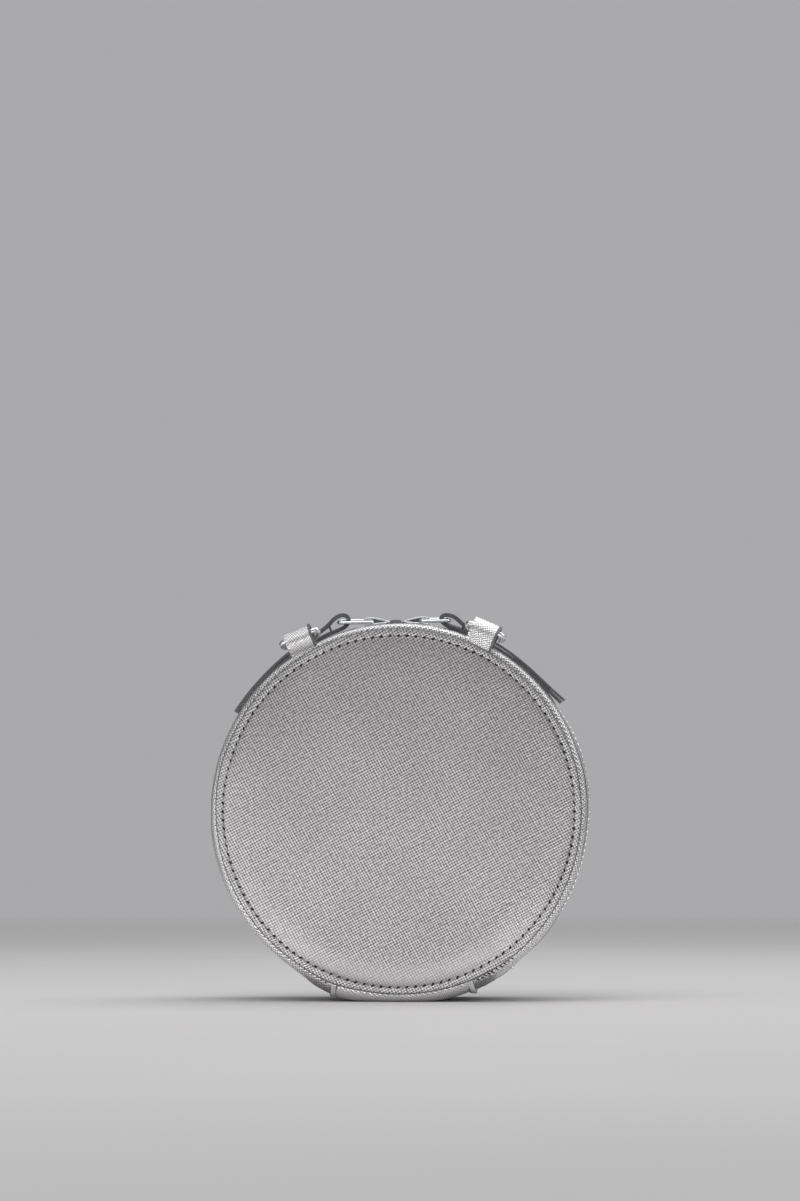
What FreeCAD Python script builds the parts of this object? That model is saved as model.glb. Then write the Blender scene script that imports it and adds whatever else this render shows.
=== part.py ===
import FreeCAD, Part
import math
import os

os.makedirs("parts", exist_ok=True)

# A round bag that stands on a flattened base. Sizes are in mm, +Z is up, the bag's axis runs along Y,
# the back panel faces -Y, and the frame's origin is under the middle of the base.
# Angles are in degrees round the bag's axis, from straight up, growing towards +X.

# Sizes of the drum
panel_diameter = 170.0
overall_depth = 70.0
panel_thickness = 1.5
strip_thickness = 1.3
rim_overhang = 2.4
lap_rise = 2.0
base_rise = 0.8
base_squash = 1.8
lap_flat_width = 11.0
zip_channel_width = 10.0
flange_width = 6.2
flange_margin = 0.2

# Boards and linings
board_thickness = 1.2
lining_thickness = 0.6
liner_gap = 0.6
lining_clearance = 0.4
lining_rim_inset = 3.2

# Seams at the two ends of the base
welt_centre = 33.0
welt_width = 3.6
welt_rise = 1.2

# Zip
tape_thickness = 0.6
tape_width = 11.0
tooth_gap = 1.8
tooth_reach = 2.4
tooth_length = 1.4
tooth_rise = 0.3
tooth_depth = 3.2
tooth_pitch = 3.0
zip_end_angle = 147.0
stop_length = 2.2

# Zip sliders, pull links and leather pulls
slider_length = 12.4
slider_width = 9.2
slider_nose_share = 0.70
slider_tail_share = 0.78
slider_shoulder_share = 0.16
plate_thickness = 0.9
plate_clearance = 0.4
bridge_length = 11.0
bridge_width = 3.6
bridge_strap = 1.0
post_length = 3.6
post_thickness = 1.2
link_wire = 1.8
link_corner_radius = 2.0
pull_width = 8.0
pull_leather = 0.9
pull_eye_radius = 4.0
pull_straight = 12.0
pull_lift = 0.6
pull_laid_length = 52.5
link_length = 13.4
slider_left_angle = -6.9
slider_right_angle = 4.7

# Ring tabs and D-rings
tab_width = 13.0
tab_leather = 1.4
tab_eye_rise = 4.6
tab_neck = 2.0
tab_insert = 4.0
tab_left_angle = -30.5
tab_right_angle = 26.05
tab_heading = 21.4
tab_notch_rise = 1.5
tab_notch_spare = 0.7
ring_wire = 2.8
ring_corner_radius = 2.2
ring_droop = 15.0

# Clearances
moving_gap = 0.4
wire_clearance = 0.3
cut_overrun = 20.0

# Sizes that follow from those above
panel_radius = panel_diameter / 2
half_depth = overall_depth / 2
rim_radius = panel_radius + rim_overhang
lap_radius = rim_radius + lap_rise
base_radius = lap_radius + base_rise
centre_height = base_radius - base_squash
flange_face = half_depth - panel_thickness
roll_start = panel_radius + flange_margin
flange_inner = roll_start - flange_width
lap_edge = zip_channel_width / 2
lap_flat = lap_edge + lap_flat_width
liner_radius = flange_inner - liner_gap
welt_inner = welt_centre - welt_width / 2
welt_outer = welt_centre + welt_width / 2
tape_top = lap_radius - strip_thickness
tape_bottom = tape_top - tape_thickness
tooth_top = lap_radius + tooth_rise
tooth_bottom = tooth_top - tooth_depth
row_start = tooth_gap / 2
row_end = row_start + tooth_reach
tooth_pitch_angle = math.degrees(tooth_pitch / tooth_top)
plate_bottom = tooth_top + plate_clearance
plate_top = plate_bottom + plate_thickness
link_radius = link_wire / 2
slot_height = link_wire + 2 * wire_clearance
bar_radius = plate_top + slot_height / 2
bar_offset = bridge_length / 2 - bridge_strap - slot_height / 2
pull_radius = tooth_top + pull_lift
pull_arc_angle = math.degrees(pull_laid_length / pull_radius)
eye_radius = math.hypot(pull_straight, pull_radius + pull_eye_radius)
bar_reach = math.hypot(bar_offset, bar_radius)
bar_lead_angle = math.degrees(math.atan2(bar_offset, bar_radius))
link_cosine = (bar_reach**2 + eye_radius**2 - link_length**2) / (2 * bar_reach * eye_radius)
eye_lead_angle = bar_lead_angle + math.degrees(math.acos(link_cosine))
ring_radius = ring_wire / 2
tab_eye_radius = ring_radius + wire_clearance + tab_leather
ring_half_bar = tab_width / 2 + wire_clearance
tab_eye_height = lap_radius - panel_radius + tab_eye_rise
tab_merge = tab_eye_height - tab_neck
tab_tail = tab_eye_height + tab_insert
tab_notch_depth = 2 * tab_leather + tab_notch_spare

X_AXIS = FreeCAD.Vector(1, 0, 0)
Y_AXIS = FreeCAD.Vector(0, 1, 0)
Z_AXIS = FreeCAD.Vector(0, 0, 1)
CENTRE = FreeCAD.Vector(0, 0, centre_height)


# Drawing helpers

def section_point(y, radius):
    """A point of the half plane above the bag's axis."""
    return FreeCAD.Vector(0, y, centre_height + radius)


def closed_wire(start, steps):
    """A closed wire from a start point. A step is a point, or a pair (point on an arc, its end)."""
    edges = []
    here = start
    for step in list(steps) + [start]:
        if isinstance(step, tuple):
            edges.append(Part.Arc(here, step[0], step[1]).toShape())
            here = step[1]
        elif here.distanceToPoint(step) > 0:
            edges.append(Part.LineSegment(here, step).toShape())
            here = step
    return Part.Wire(edges)


def revolved(start, steps):
    """A section turned once round the bag's axis."""
    return Part.Face(closed_wire(start, steps)).revolve(CENTRE, Y_AXIS, 360)


def disc(radius, y_from, y_to):
    """A round plate across the bag's axis."""
    return Part.makeCylinder(radius, y_to - y_from, FreeCAD.Vector(0, y_from, centre_height), Y_AXIS)


def block(x_from, x_to, y_from, y_to, z_from, z_to):
    """A box between two corners."""
    corner = FreeCAD.Vector(x_from, y_from, z_from)
    return Part.makeBox(x_to - x_from, y_to - y_from, z_to - z_from, corner)


def turned(shape, angle):
    """A copy turned round the bag's axis."""
    copy = shape.copy()
    copy.rotate(CENTRE, Y_AXIS, angle)
    return copy


def mirrored_front(shape):
    """The same piece on the front half."""
    return shape.mirror(FreeCAD.Vector(0, 0, 0), Y_AXIS)


def without_base(shape, half_width):
    """A strip round the bag, less the stretch that the base takes up."""
    reach = base_radius + cut_overrun
    return shape.cut(block(-half_width, half_width, -reach, reach, centre_height - reach, centre_height))


def base_stretch(shape, x_from, x_to):
    """The part of a drum below the bag's axis between two upright planes."""
    reach = base_radius + cut_overrun
    return shape.common(block(x_from, x_to, -reach, reach, centre_height - reach, centre_height))


def above(shape, height):
    """The part of a shape above a level."""
    reach = base_radius + cut_overrun
    return shape.common(block(-reach, reach, -reach, reach, height, height + 2 * reach))


def bent_wire(edges, radius):
    """Round wire along lines and arcs that run on smoothly from each other."""
    pieces = []
    for edge in edges:
        first = edge.FirstParameter
        along = edge.tangentAt(first)
        begin = edge.valueAt(first)
        if isinstance(edge.Curve, Part.Line):
            pieces.append(Part.makeCylinder(radius, edge.Length, begin, along))
        else:
            circle = Part.Wire(Part.makeCircle(radius, begin, along))
            swing = math.degrees(edge.LastParameter - first)
            pieces.append(Part.Face(circle).revolve(edge.Curve.Center, edge.Curve.Axis, swing))
    return pieces[0].multiFuse(pieces[1:]).removeSplitter()


def save(name, shape):
    """Write one node."""
    shape.exportStep("parts/" + name + ".step")


# A strap folded round a bar

def strap_rise(eye, leather, merge):
    """How far the upper layer's normal leans, for a loop whose layers meet at a distance from its eye."""
    drop = 2 * leather - eye
    reach = math.hypot(merge, drop)
    return math.atan2(merge, drop) - math.acos(eye / reach)


def strap_outside(place, eye, leather, merge):
    """The start and steps of a folded loop's outside, from the lower layer round the eye to the upper one."""
    lean = strap_rise(eye, leather, merge)
    middle = (lean - math.pi) / 2
    start = place(merge, -eye)
    round_eye = (
        place(eye * math.sin(middle), eye * math.cos(middle)),
        place(eye * math.sin(lean), eye * math.cos(lean)),
    )
    return start, [place(0, -eye), round_eye, place(merge, 2 * leather - eye)]


def strap_hole(place, eye, leather, merge):
    """The drop-shaped hole inside a folded loop."""
    lean = strap_rise(eye, leather, merge)
    inside = eye - leather
    middle = (lean - math.pi) / 2
    tip = place(inside * (1 + math.cos(lean)) / math.sin(lean), -inside)
    round_hole = (
        place(inside * math.sin(middle), inside * math.cos(middle)),
        place(inside * math.sin(lean), inside * math.cos(lean)),
    )
    return closed_wire(place(0, -inside), [round_hole, tip])


# Panels, boards and linings

def make_panel():
    return disc(panel_radius, -half_depth, -flange_face)


def make_board():
    return disc(liner_radius, -flange_face, board_thickness - flange_face)


def make_panel_lining():
    outer = board_thickness - flange_face
    return disc(liner_radius, outer, outer + lining_thickness)


# Gusset strips

def make_gusset(half_width):
    """The leather strip of one half: a flange behind the panel, a rolled rim, and the lap beside the zip."""
    outer = -flange_face
    roll = rim_radius - roll_start
    inner_roll = roll - strip_thickness
    middle = outer + roll
    slant = math.sqrt(0.5)
    strip = revolved(
        section_point(outer, flange_inner),
        [
            section_point(outer, roll_start),
            (
                section_point(middle - roll * slant, roll_start + roll * slant),
                section_point(middle, rim_radius),
            ),
            section_point(-lap_flat, lap_radius),
            section_point(-lap_edge, lap_radius),
            section_point(-lap_edge, tape_top),
            section_point(-lap_flat, tape_top),
            section_point(middle, rim_radius - strip_thickness),
            (
                section_point(middle - inner_roll * slant, roll_start + inner_roll * slant),
                section_point(outer + strip_thickness, roll_start),
            ),
            section_point(outer + strip_thickness, flange_inner),
        ],
    )
    return without_base(strip, half_width)


def make_gusset_lining(half_width):
    """The lining strip inside one half's gusset."""
    rim = rim_radius - strip_thickness - lining_clearance
    lap = tape_bottom - lining_clearance
    begin = lining_rim_inset - flange_face
    end = -row_end - lining_rim_inset
    strip = revolved(
        section_point(begin, rim),
        [
            section_point(end, lap),
            section_point(end, lap - lining_thickness),
            section_point(begin, rim - lining_thickness),
        ],
    )
    return without_base(strip, half_width)


# Base

def drum(back, front, radius):
    """A closed drum with rolled rims, between two planes across the axis."""
    roll = radius - roll_start
    slant = math.sqrt(0.5)
    return revolved(
        section_point(back, 0),
        [
            section_point(back, roll_start),
            (
                section_point(back + roll - roll * slant, roll_start + roll * slant),
                section_point(back + roll, radius),
            ),
            section_point(front - roll, radius),
            (
                section_point(front - roll + roll * slant, roll_start + roll * slant),
                section_point(front, roll_start),
            ),
            section_point(front, 0),
        ],
    )


def base_shell(rise):
    """The base leather all the way round, flattened where it stands, with its outside raised."""
    front = flange_face - moving_gap
    outside = above(drum(-flange_face, front, base_radius + rise), 0)
    inside = drum(strip_thickness - flange_face, front - strip_thickness, base_radius - strip_thickness)
    shell = outside.cut(above(inside, strip_thickness))
    return shell.cut(disc(flange_inner, -half_depth - cut_overrun, half_depth + cut_overrun))


def make_base():
    return base_stretch(base_shell(0), -welt_inner, welt_inner)


def make_welt(side):
    ends = sorted([side * welt_inner, side * welt_outer])
    return base_stretch(base_shell(welt_rise), ends[0], ends[1])


def make_base_lining():
    """The lining sheet over the base, between the rolled rims."""
    depth = strip_thickness + lining_clearance
    radius = base_radius - depth
    reach = flange_face - (base_radius - roll_start)
    sheet = above(disc(radius, -reach, reach), depth)
    hollow = above(disc(radius - lining_thickness, -half_depth, half_depth), depth + lining_thickness)
    return base_stretch(sheet.cut(hollow), -welt_inner, welt_inner)


# Zip

def make_tape(half_width):
    """The woven tape of one row, under the lap."""
    strip = revolved(
        section_point(-row_end, tape_top),
        [
            section_point(-row_end, tape_bottom),
            section_point(-row_end - tape_width, tape_bottom),
            section_point(-row_end - tape_width, tape_top),
        ],
    )
    return without_base(strip, half_width)


def row_piece(length, angle):
    """One small piece of the back row, at an angle round the zip."""
    bottom = centre_height + tooth_bottom
    top = centre_height + tooth_top
    return turned(block(-length / 2, length / 2, -row_end, -row_start, bottom, top), angle)


def make_teeth(shift_share):
    """One row of teeth, as separate pieces, shifted along the row by a share of the pitch."""
    count = int(zip_end_angle / tooth_pitch_angle)
    teeth = []
    for number in range(-count + 1, count - 1):
        teeth.append(row_piece(tooth_length, (number + shift_share) * tooth_pitch_angle))
    return Part.makeCompound(teeth)


def make_stops():
    """The two end stops of one row."""
    return Part.makeCompound([row_piece(stop_length, -zip_end_angle), row_piece(stop_length, zip_end_angle)])


# Sliders, links and pulls, drawn for a slider at the top whose pull lies towards +X

def handed(shape, side, angle):
    """A drawn piece brought to its side of the zip."""
    if side < 0:
        shape = shape.mirror(FreeCAD.Vector(0, 0, 0), X_AXIS)
    return turned(shape, angle)


def slider_plate(bottom):
    """One plate of a slider, narrower at its ends."""
    half_length = slider_length / 2
    half_width = slider_width / 2
    shoulder = slider_length * slider_shoulder_share
    height = centre_height + bottom
    corners = [
        FreeCAD.Vector(half_length, half_width * slider_nose_share, height),
        FreeCAD.Vector(shoulder, half_width, height),
        FreeCAD.Vector(-shoulder, half_width, height),
        FreeCAD.Vector(-half_length, half_width * slider_tail_share, height),
        FreeCAD.Vector(-half_length, -half_width * slider_tail_share, height),
        FreeCAD.Vector(-shoulder, -half_width, height),
        FreeCAD.Vector(shoulder, -half_width, height),
        FreeCAD.Vector(half_length, -half_width * slider_nose_share, height),
    ]
    face = Part.Face(closed_wire(corners[0], corners[1:]))
    return face.extrude(FreeCAD.Vector(0, 0, plate_thickness))


def slot_bar(half_length, half_height, width):
    """A bar with round ends across the zip, round the middle of the bridge slot."""
    height = centre_height + bar_radius
    straight = half_length - half_height
    start = FreeCAD.Vector(-straight, -width / 2, height - half_height)
    face = Part.Face(
        closed_wire(
            start,
            [
                FreeCAD.Vector(straight, -width / 2, height - half_height),
                (
                    FreeCAD.Vector(half_length, -width / 2, height),
                    FreeCAD.Vector(straight, -width / 2, height + half_height),
                ),
                FreeCAD.Vector(-straight, -width / 2, height + half_height),
                (FreeCAD.Vector(-half_length, -width / 2, height), start),
            ],
        )
    )
    return face.extrude(FreeCAD.Vector(0, width, 0))


def make_slider():
    """Two plates joined by a post between the rows, with a bridge for the link on top."""
    under = tooth_bottom - 2 * plate_clearance - plate_thickness
    tail = -slider_length / 2
    post = block(
        tail,
        tail + post_length,
        -post_thickness / 2,
        post_thickness / 2,
        centre_height + under,
        centre_height + plate_top,
    )
    bridge = slot_bar(bridge_length / 2, slot_height / 2 + bridge_strap, bridge_width)
    slot = slot_bar(bridge_length / 2 - bridge_strap, slot_height / 2, bridge_width + cut_overrun)
    bridge = above(bridge.cut(slot), centre_height + plate_bottom)
    return slider_plate(plate_bottom).multiFuse([slider_plate(under), post, bridge]).removeSplitter()


def eye_point():
    """The middle of the leather pull's eye."""
    angle = math.radians(eye_lead_angle)
    return FreeCAD.Vector(eye_radius * math.sin(angle), 0, centre_height + eye_radius * math.cos(angle))


def bar_point():
    """The middle of the link's bar in the bridge."""
    return FreeCAD.Vector(bar_offset, 0, centre_height + bar_radius)


def make_link():
    """A wire loop from the bridge to the leather pull's eye."""
    begin = bar_point()
    along = eye_point().sub(begin)
    length = along.Length
    half_width = pull_width / 2 + wire_clearance + link_radius
    corner = link_corner_radius
    slant = corner * math.sqrt(0.5)
    lean = math.degrees(math.atan2(along.z, along.x))

    def arc(near_end, side):
        centre_x = corner if near_end else length - corner
        centre_y = side * (half_width - corner)
        way = -1 if near_end else 1
        ends = [
            FreeCAD.Vector(centre_x + way * corner, centre_y, 0),
            FreeCAD.Vector(centre_x + way * slant, centre_y + side * slant, 0),
            FreeCAD.Vector(centre_x, centre_y + side * corner, 0),
        ]
        return Part.Arc(ends[0], ends[1], ends[2]).toShape()

    def line(x_from, y_from, x_to, y_to):
        return Part.LineSegment(FreeCAD.Vector(x_from, y_from, 0), FreeCAD.Vector(x_to, y_to, 0)).toShape()

    inset = half_width - corner
    edges = [
        line(0, -inset, 0, inset),
        arc(True, 1),
        line(corner, half_width, length - corner, half_width),
        arc(False, 1),
        line(length, inset, length, -inset),
        arc(False, -1),
        line(length - corner, -half_width, corner, -half_width),
        arc(True, -1),
    ]
    loop = bent_wire(edges, link_radius)
    loop.rotate(FreeCAD.Vector(0, 0, 0), Y_AXIS, -lean)
    loop.translate(begin)
    return loop


def make_pull():
    """A strip folded round the link, its two layers laid along the zip. The layers meet at the top here."""
    base = centre_height + pull_radius
    half_width = pull_width / 2

    def place(along, rise):
        return FreeCAD.Vector(along - pull_straight, -half_width, base + pull_eye_radius + rise)

    def on_arc(radius, angle):
        turn = math.radians(angle)
        return FreeCAD.Vector(
            radius * math.sin(turn), -half_width, centre_height + radius * math.cos(turn)
        )

    outer = pull_radius + 2 * pull_leather
    start, steps = strap_outside(place, pull_eye_radius, pull_leather, pull_straight)
    steps.append((on_arc(outer, pull_arc_angle / 2), on_arc(outer, pull_arc_angle)))
    steps.append(on_arc(pull_radius, pull_arc_angle))
    steps.append((on_arc(pull_radius, pull_arc_angle / 2), start))
    hole = strap_hole(place, pull_eye_radius, pull_leather, pull_straight)
    depth = FreeCAD.Vector(0, pull_width, 0)
    strap = Part.Face(closed_wire(start, steps)).extrude(depth)
    strap = strap.cut(Part.Face(hole).extrude(depth))
    lead = math.degrees(math.atan2(pull_straight, pull_radius + pull_eye_radius))
    return turned(strap, eye_lead_angle + lead)


# Ring tabs and D-rings, drawn upright with the eye's middle at the origin

def tab_placed(shape, side, angle):
    """A drawn piece brought to its tab on the rim."""
    heading = math.radians(side * tab_heading)
    turn = math.radians(angle)
    shape.rotate(FreeCAD.Vector(0, 0, 0), Y_AXIS, side * tab_heading)
    shape.translate(
        FreeCAD.Vector(
            panel_radius * math.sin(turn) + tab_eye_height * math.sin(heading),
            tab_eye_radius - flange_face,
            centre_height + panel_radius * math.cos(turn) + tab_eye_height * math.cos(heading),
        )
    )
    return shape


def make_tab(side, angle):
    """A leather loop round the ring's bar, its two ends let in under the panel edge."""
    def place(along, rise):
        return FreeCAD.Vector(-tab_width / 2, rise, -along)

    start, steps = strap_outside(place, tab_eye_radius, tab_leather, tab_merge)
    steps.append(place(tab_tail, 2 * tab_leather - tab_eye_radius))
    steps.append(place(tab_tail, -tab_eye_radius))
    hole = strap_hole(place, tab_eye_radius, tab_leather, tab_merge)
    width = FreeCAD.Vector(tab_width, 0, 0)
    strap = Part.Face(closed_wire(start, steps)).extrude(width)
    strap = strap.cut(Part.Face(hole).extrude(width))
    return tab_placed(strap, side, angle)


def make_tab_notch(side, angle):
    """The room that a tab's ends take up in the gusset's rim."""
    half_width = tab_width / 2
    front = -tab_eye_radius
    notch = block(
        -half_width, half_width, front, front + tab_notch_depth, -tab_tail, tab_notch_rise - tab_merge
    )
    return tab_placed(notch, side, angle)


def make_ring(side, angle):
    """A D-ring of bent wire, flopped over to the far side of its tab."""
    half = ring_half_bar
    corner = ring_corner_radius
    slant = corner * math.sqrt(0.5)
    big = half + corner

    def at(x, y):
        return FreeCAD.Vector(x, y, 0)

    edges = [
        Part.LineSegment(at(-half, 0), at(half, 0)).toShape(),
        Part.Arc(at(half, 0), at(half + slant, corner - slant), at(big, corner)).toShape(),
        Part.Arc(at(big, corner), at(0, corner + big), at(-big, corner)).toShape(),
        Part.Arc(at(-big, corner), at(-half - slant, corner - slant), at(-half, 0)).toShape(),
    ]
    ring = bent_wire(edges, ring_radius)
    ring.rotate(FreeCAD.Vector(0, 0, 0), X_AXIS, -ring_droop)
    return tab_placed(ring, side, angle)


# Back half, which the rest hangs on

save("back_panel", make_panel())
save("back_board", make_board())
save("back_lining", make_panel_lining())
back_gusset = make_gusset(welt_outer)
for side, angle in ((-1, tab_left_angle), (1, tab_right_angle)):
    back_gusset = back_gusset.cut(make_tab_notch(side, angle))
save("back_gusset", back_gusset)
save("back_gusset_lining", make_gusset_lining(welt_outer))
save("zip_tape_back", make_tape(welt_outer))
save("zip_teeth_back", make_teeth(0))
save("zip_stops_back", make_stops())
save("base", make_base())
save("base_lining", make_base_lining())
save("seam_welt_left", make_welt(-1))
save("seam_welt_right", make_welt(1))
save("ring_tab_left", make_tab(-1, tab_left_angle))
save("ring_tab_right", make_tab(1, tab_right_angle))

# Front half, which swings open

save("front_panel", mirrored_front(make_panel()))
save("front_board", mirrored_front(make_board()))
save("front_lining", mirrored_front(make_panel_lining()))
save("front_gusset", mirrored_front(make_gusset(welt_outer + moving_gap)))
save("front_gusset_lining", mirrored_front(make_gusset_lining(welt_outer + moving_gap)))
save("zip_tape_front", mirrored_front(make_tape(welt_outer + moving_gap)))
save("zip_teeth_front", mirrored_front(make_teeth(0.5)))
save("zip_stops_front", mirrored_front(make_stops()))

# Loose hardware

for name, side, angle in (("left", -1, slider_left_angle), ("right", 1, slider_right_angle)):
    save("slider_" + name, handed(make_slider(), side, angle))
    save("pull_link_" + name, handed(make_link(), side, angle))
    save("leather_pull_" + name, handed(make_pull(), side, angle))
for name, side, angle in (("left", -1, tab_left_angle), ("right", 1, tab_right_angle)):
    save("d_ring_" + name, make_ring(side, angle))
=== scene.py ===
# %% [markdown]
# # A round zip bag in silver cross-hatched leather
# The bag is a short drum standing on its rim. Two stiff round panels close it, a strip of leather runs along each
# side of the zip, and a plain base joins the two halves where the zip ends.
# The sizes come from the CAD model, so the first step loads it.

import math

import bmesh
import bpy
from bmesh.types import BMEdge, BMFace, BMVert
from mathutils import Matrix, Vector, noise
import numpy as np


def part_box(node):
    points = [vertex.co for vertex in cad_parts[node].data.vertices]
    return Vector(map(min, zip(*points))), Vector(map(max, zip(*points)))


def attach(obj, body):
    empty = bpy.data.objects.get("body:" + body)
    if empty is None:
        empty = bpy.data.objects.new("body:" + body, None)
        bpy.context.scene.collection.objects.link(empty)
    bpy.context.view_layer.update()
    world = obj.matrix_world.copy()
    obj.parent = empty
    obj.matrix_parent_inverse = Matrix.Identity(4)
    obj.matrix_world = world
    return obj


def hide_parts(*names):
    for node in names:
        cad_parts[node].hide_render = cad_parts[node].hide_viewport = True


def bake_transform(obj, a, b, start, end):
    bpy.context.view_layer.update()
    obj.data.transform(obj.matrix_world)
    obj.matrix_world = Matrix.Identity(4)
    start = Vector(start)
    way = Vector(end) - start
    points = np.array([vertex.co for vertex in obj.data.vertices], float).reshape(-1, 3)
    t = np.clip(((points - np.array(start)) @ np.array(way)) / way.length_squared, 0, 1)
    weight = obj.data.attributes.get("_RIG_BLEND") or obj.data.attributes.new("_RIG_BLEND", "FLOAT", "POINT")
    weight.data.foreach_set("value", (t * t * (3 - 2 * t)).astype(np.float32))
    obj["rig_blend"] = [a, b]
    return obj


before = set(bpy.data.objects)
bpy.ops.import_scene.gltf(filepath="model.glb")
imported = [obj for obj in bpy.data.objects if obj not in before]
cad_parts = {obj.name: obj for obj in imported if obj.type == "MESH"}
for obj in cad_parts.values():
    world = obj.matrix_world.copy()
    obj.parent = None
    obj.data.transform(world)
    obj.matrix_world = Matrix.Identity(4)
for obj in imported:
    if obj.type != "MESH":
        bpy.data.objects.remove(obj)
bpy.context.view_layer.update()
MM = 0.001

# %% [markdown]
# Everything round on this bag turns about one axis, through the middle of the panels. It is read from the back
# panel's box, so that the pieces made here follow the model if it changes. Angles are in degrees from straight up,
# growing to the right, and lengths are written in millimetres.

# %% The bag's axis
low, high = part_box("back_panel")
CENTRE = Vector((0, 0, (low.z + high.z) / 2))
BACK_FACE = low.y


def round_point(angle, y, radius):
    """A point at an angle round the bag's axis. The y and the radius are in mm."""
    turn = math.radians(angle)
    return Vector((radius * MM * math.sin(turn), y * MM, CENTRE.z + radius * MM * math.cos(turn)))


def outwards(angle):
    """One millimetre away from the bag's axis, at an angle."""
    return round_point(angle, 0, 1) - CENTRE


def directions(angle):
    """The ways along the rim and out from the axis, at an angle."""
    turn = math.radians(angle)
    return Vector((math.cos(turn), 0, -math.sin(turn))), Vector((math.sin(turn), 0, math.cos(turn)))


def angle_of(point):
    """The angle of a point round the bag's axis, in degrees."""
    return math.degrees(math.atan2(point.x, point.z - CENTRE.z))


def radius_of(point):
    """The distance of a point from the bag's axis, in mm."""
    return math.hypot(point.x, point.z - CENTRE.z) / MM


def soft_step(low_end, high_end, value):
    """A smooth rise from 0 to 1 between two values."""
    share = min(max((value - low_end) / (high_end - low_end), 0), 1)
    return share * share * (3 - 2 * share)


print("axis height in mm:", round(CENTRE.z / MM, 2), "panel radius:", round((high.z - low.z) / 2 / MM, 2))

# %% [markdown]
# ## Camera
# The photograph looks almost straight at the back panel, a little from the right and from low down, through a long
# lens. The camera stays level, so the panel stays a true circle, and the lens shift puts the bag low in the frame.
# The panel is 170 mm across and covers 366 of the frame's 800 pixels, which sets the focal length.

# %% Camera
FRAME_WIDTH = 800
PIXEL = 0.4639 * MM
AWAY = 1.6
EYE_HEIGHT = 62.7 * MM
TURN_RIGHT = math.radians(1.54)
SENSOR_WIDTH = 36
PIXELS_RIGHT, PIXELS_UP = 1.5, 211

camera = bpy.data.objects.new("camera", bpy.data.cameras.new("camera"))
camera.data.sensor_fit = "HORIZONTAL"
camera.data.sensor_width = SENSOR_WIDTH
camera.data.lens = SENSOR_WIDTH * AWAY / (PIXEL * FRAME_WIDTH)
camera.data.shift_x = PIXELS_RIGHT / FRAME_WIDTH
camera.data.shift_y = (PIXELS_UP + (CENTRE.z - EYE_HEIGHT) / PIXEL) / FRAME_WIDTH
camera.location = (AWAY * math.sin(TURN_RIGHT), BACK_FACE - AWAY * math.cos(TURN_RIGHT), EYE_HEIGHT)
camera.rotation_euler = (math.radians(90), 0, TURN_RIGHT)
bpy.context.scene.collection.objects.link(camera)
bpy.context.scene.camera = camera
bpy.context.scene.view_settings.view_transform = "Standard"
print("lens in mm:", round(camera.data.lens, 1), "shift:", round(camera.data.shift_y, 3))

# %% [markdown]
# ## Node helpers
# Each finish is a small tree of shader nodes. A helper adds one node, sets its options, and fills or links its
# inputs, so that a tree reads from top to bottom as a list of steps.

# %% Node helpers


def node(tree, kind, inputs=None, **options):
    """Adds a node. An input is a value, or a socket to link from."""
    made = tree.nodes.new(kind)
    for name, value in options.items():
        setattr(made, name, value)
    for name, value in (inputs or {}).items():
        if isinstance(value, bpy.types.NodeSocket):
            tree.links.new(value, made.inputs[name])
        else:
            made.inputs[name].default_value = value
    return made


def math_node(tree, operation, first, second=0.0, clamp=False):
    """A Math node's result."""
    return node(tree, "ShaderNodeMath", {0: first, 1: second}, operation=operation, use_clamp=clamp).outputs[0]


def blend_colours(tree, share, first, second):
    """Mixes two colours by a share."""
    mix = node(tree, "ShaderNodeMix", {"Factor": share}, data_type="RGBA")
    for socket, value in ((mix.inputs[6], first), (mix.inputs[7], second)):
        if isinstance(value, bpy.types.NodeSocket):
            tree.links.new(value, socket)
        else:
            socket.default_value = value
    return mix.outputs[2]


def remap(tree, value, from_low, from_high, to_low, to_high):
    """Stretches a value from one range to another, and keeps it there."""
    inputs = {"Value": value, "From Min": from_low, "From Max": from_high, "To Min": to_low, "To Max": to_high}
    return node(tree, "ShaderNodeMapRange", inputs).outputs["Result"]


def add_bump(tree, shader, height, strength, distance):
    """Bends a shader's normal by a height that reaches a distance in metres."""
    bump = node(tree, "ShaderNodeBump", {"Height": height, "Strength": strength, "Distance": distance})
    tree.links.new(bump.outputs[0], shader.inputs["Normal"])


def hide_place(tree):
    """The place on the hide that a piece carries, in metres."""
    return node(tree, "ShaderNodeAttribute", attribute_name="hide_place").outputs["Vector"]


def new_finish(name, **plain):
    """A material with its shader, and the values that are the same all over."""
    material = bpy.data.materials.new(name)
    material.use_nodes = True
    shader = material.node_tree.nodes["Principled BSDF"]
    for socket, value in plain.items():
        shader.inputs[socket.replace("_", " ")].default_value = value
    return material, material.node_tree, shader


def new_group(name, inputs, outputs):
    """An empty node group, with its sockets given as {name: kind}."""
    group = bpy.data.node_groups.new(name, "ShaderNodeTree")
    for way, sockets in (("INPUT", inputs), ("OUTPUT", outputs)):
        for socket, kind in sockets.items():
            group.interface.new_socket(socket, in_out=way, socket_type="NodeSocket" + kind)
    return group, group.nodes.new("NodeGroupInput").outputs, group.nodes.new("NodeGroupOutput").inputs


print("node helpers ready")

# %% [markdown]
# ## Cross-hatched grain
# This leather is pressed under a plate of two crossing sets of fine lines and then given a metallic film. Seen
# close, it is a field of small bright lumps with dark pits between them, and in places one set of lines wins.
# A group makes that height from two sine waves, so that every leather piece shares it. It reads a place on the
# leather in metres, which each piece carries as an attribute, because on a strip the grain follows the strip.

# %% Cross-hatched grain
HATCH_TILT = math.radians(-27.5)
MEAN_LUMP = 0.72
grain, grain_in, grain_out = new_group(
    "cross_hatched_grain",
    {"Place": "Vector", "Pitch": "Float", "Pressed": "Float"},
    {"Height": "Float", "Lump": "Float", "Drift": "Float"},
)


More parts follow.
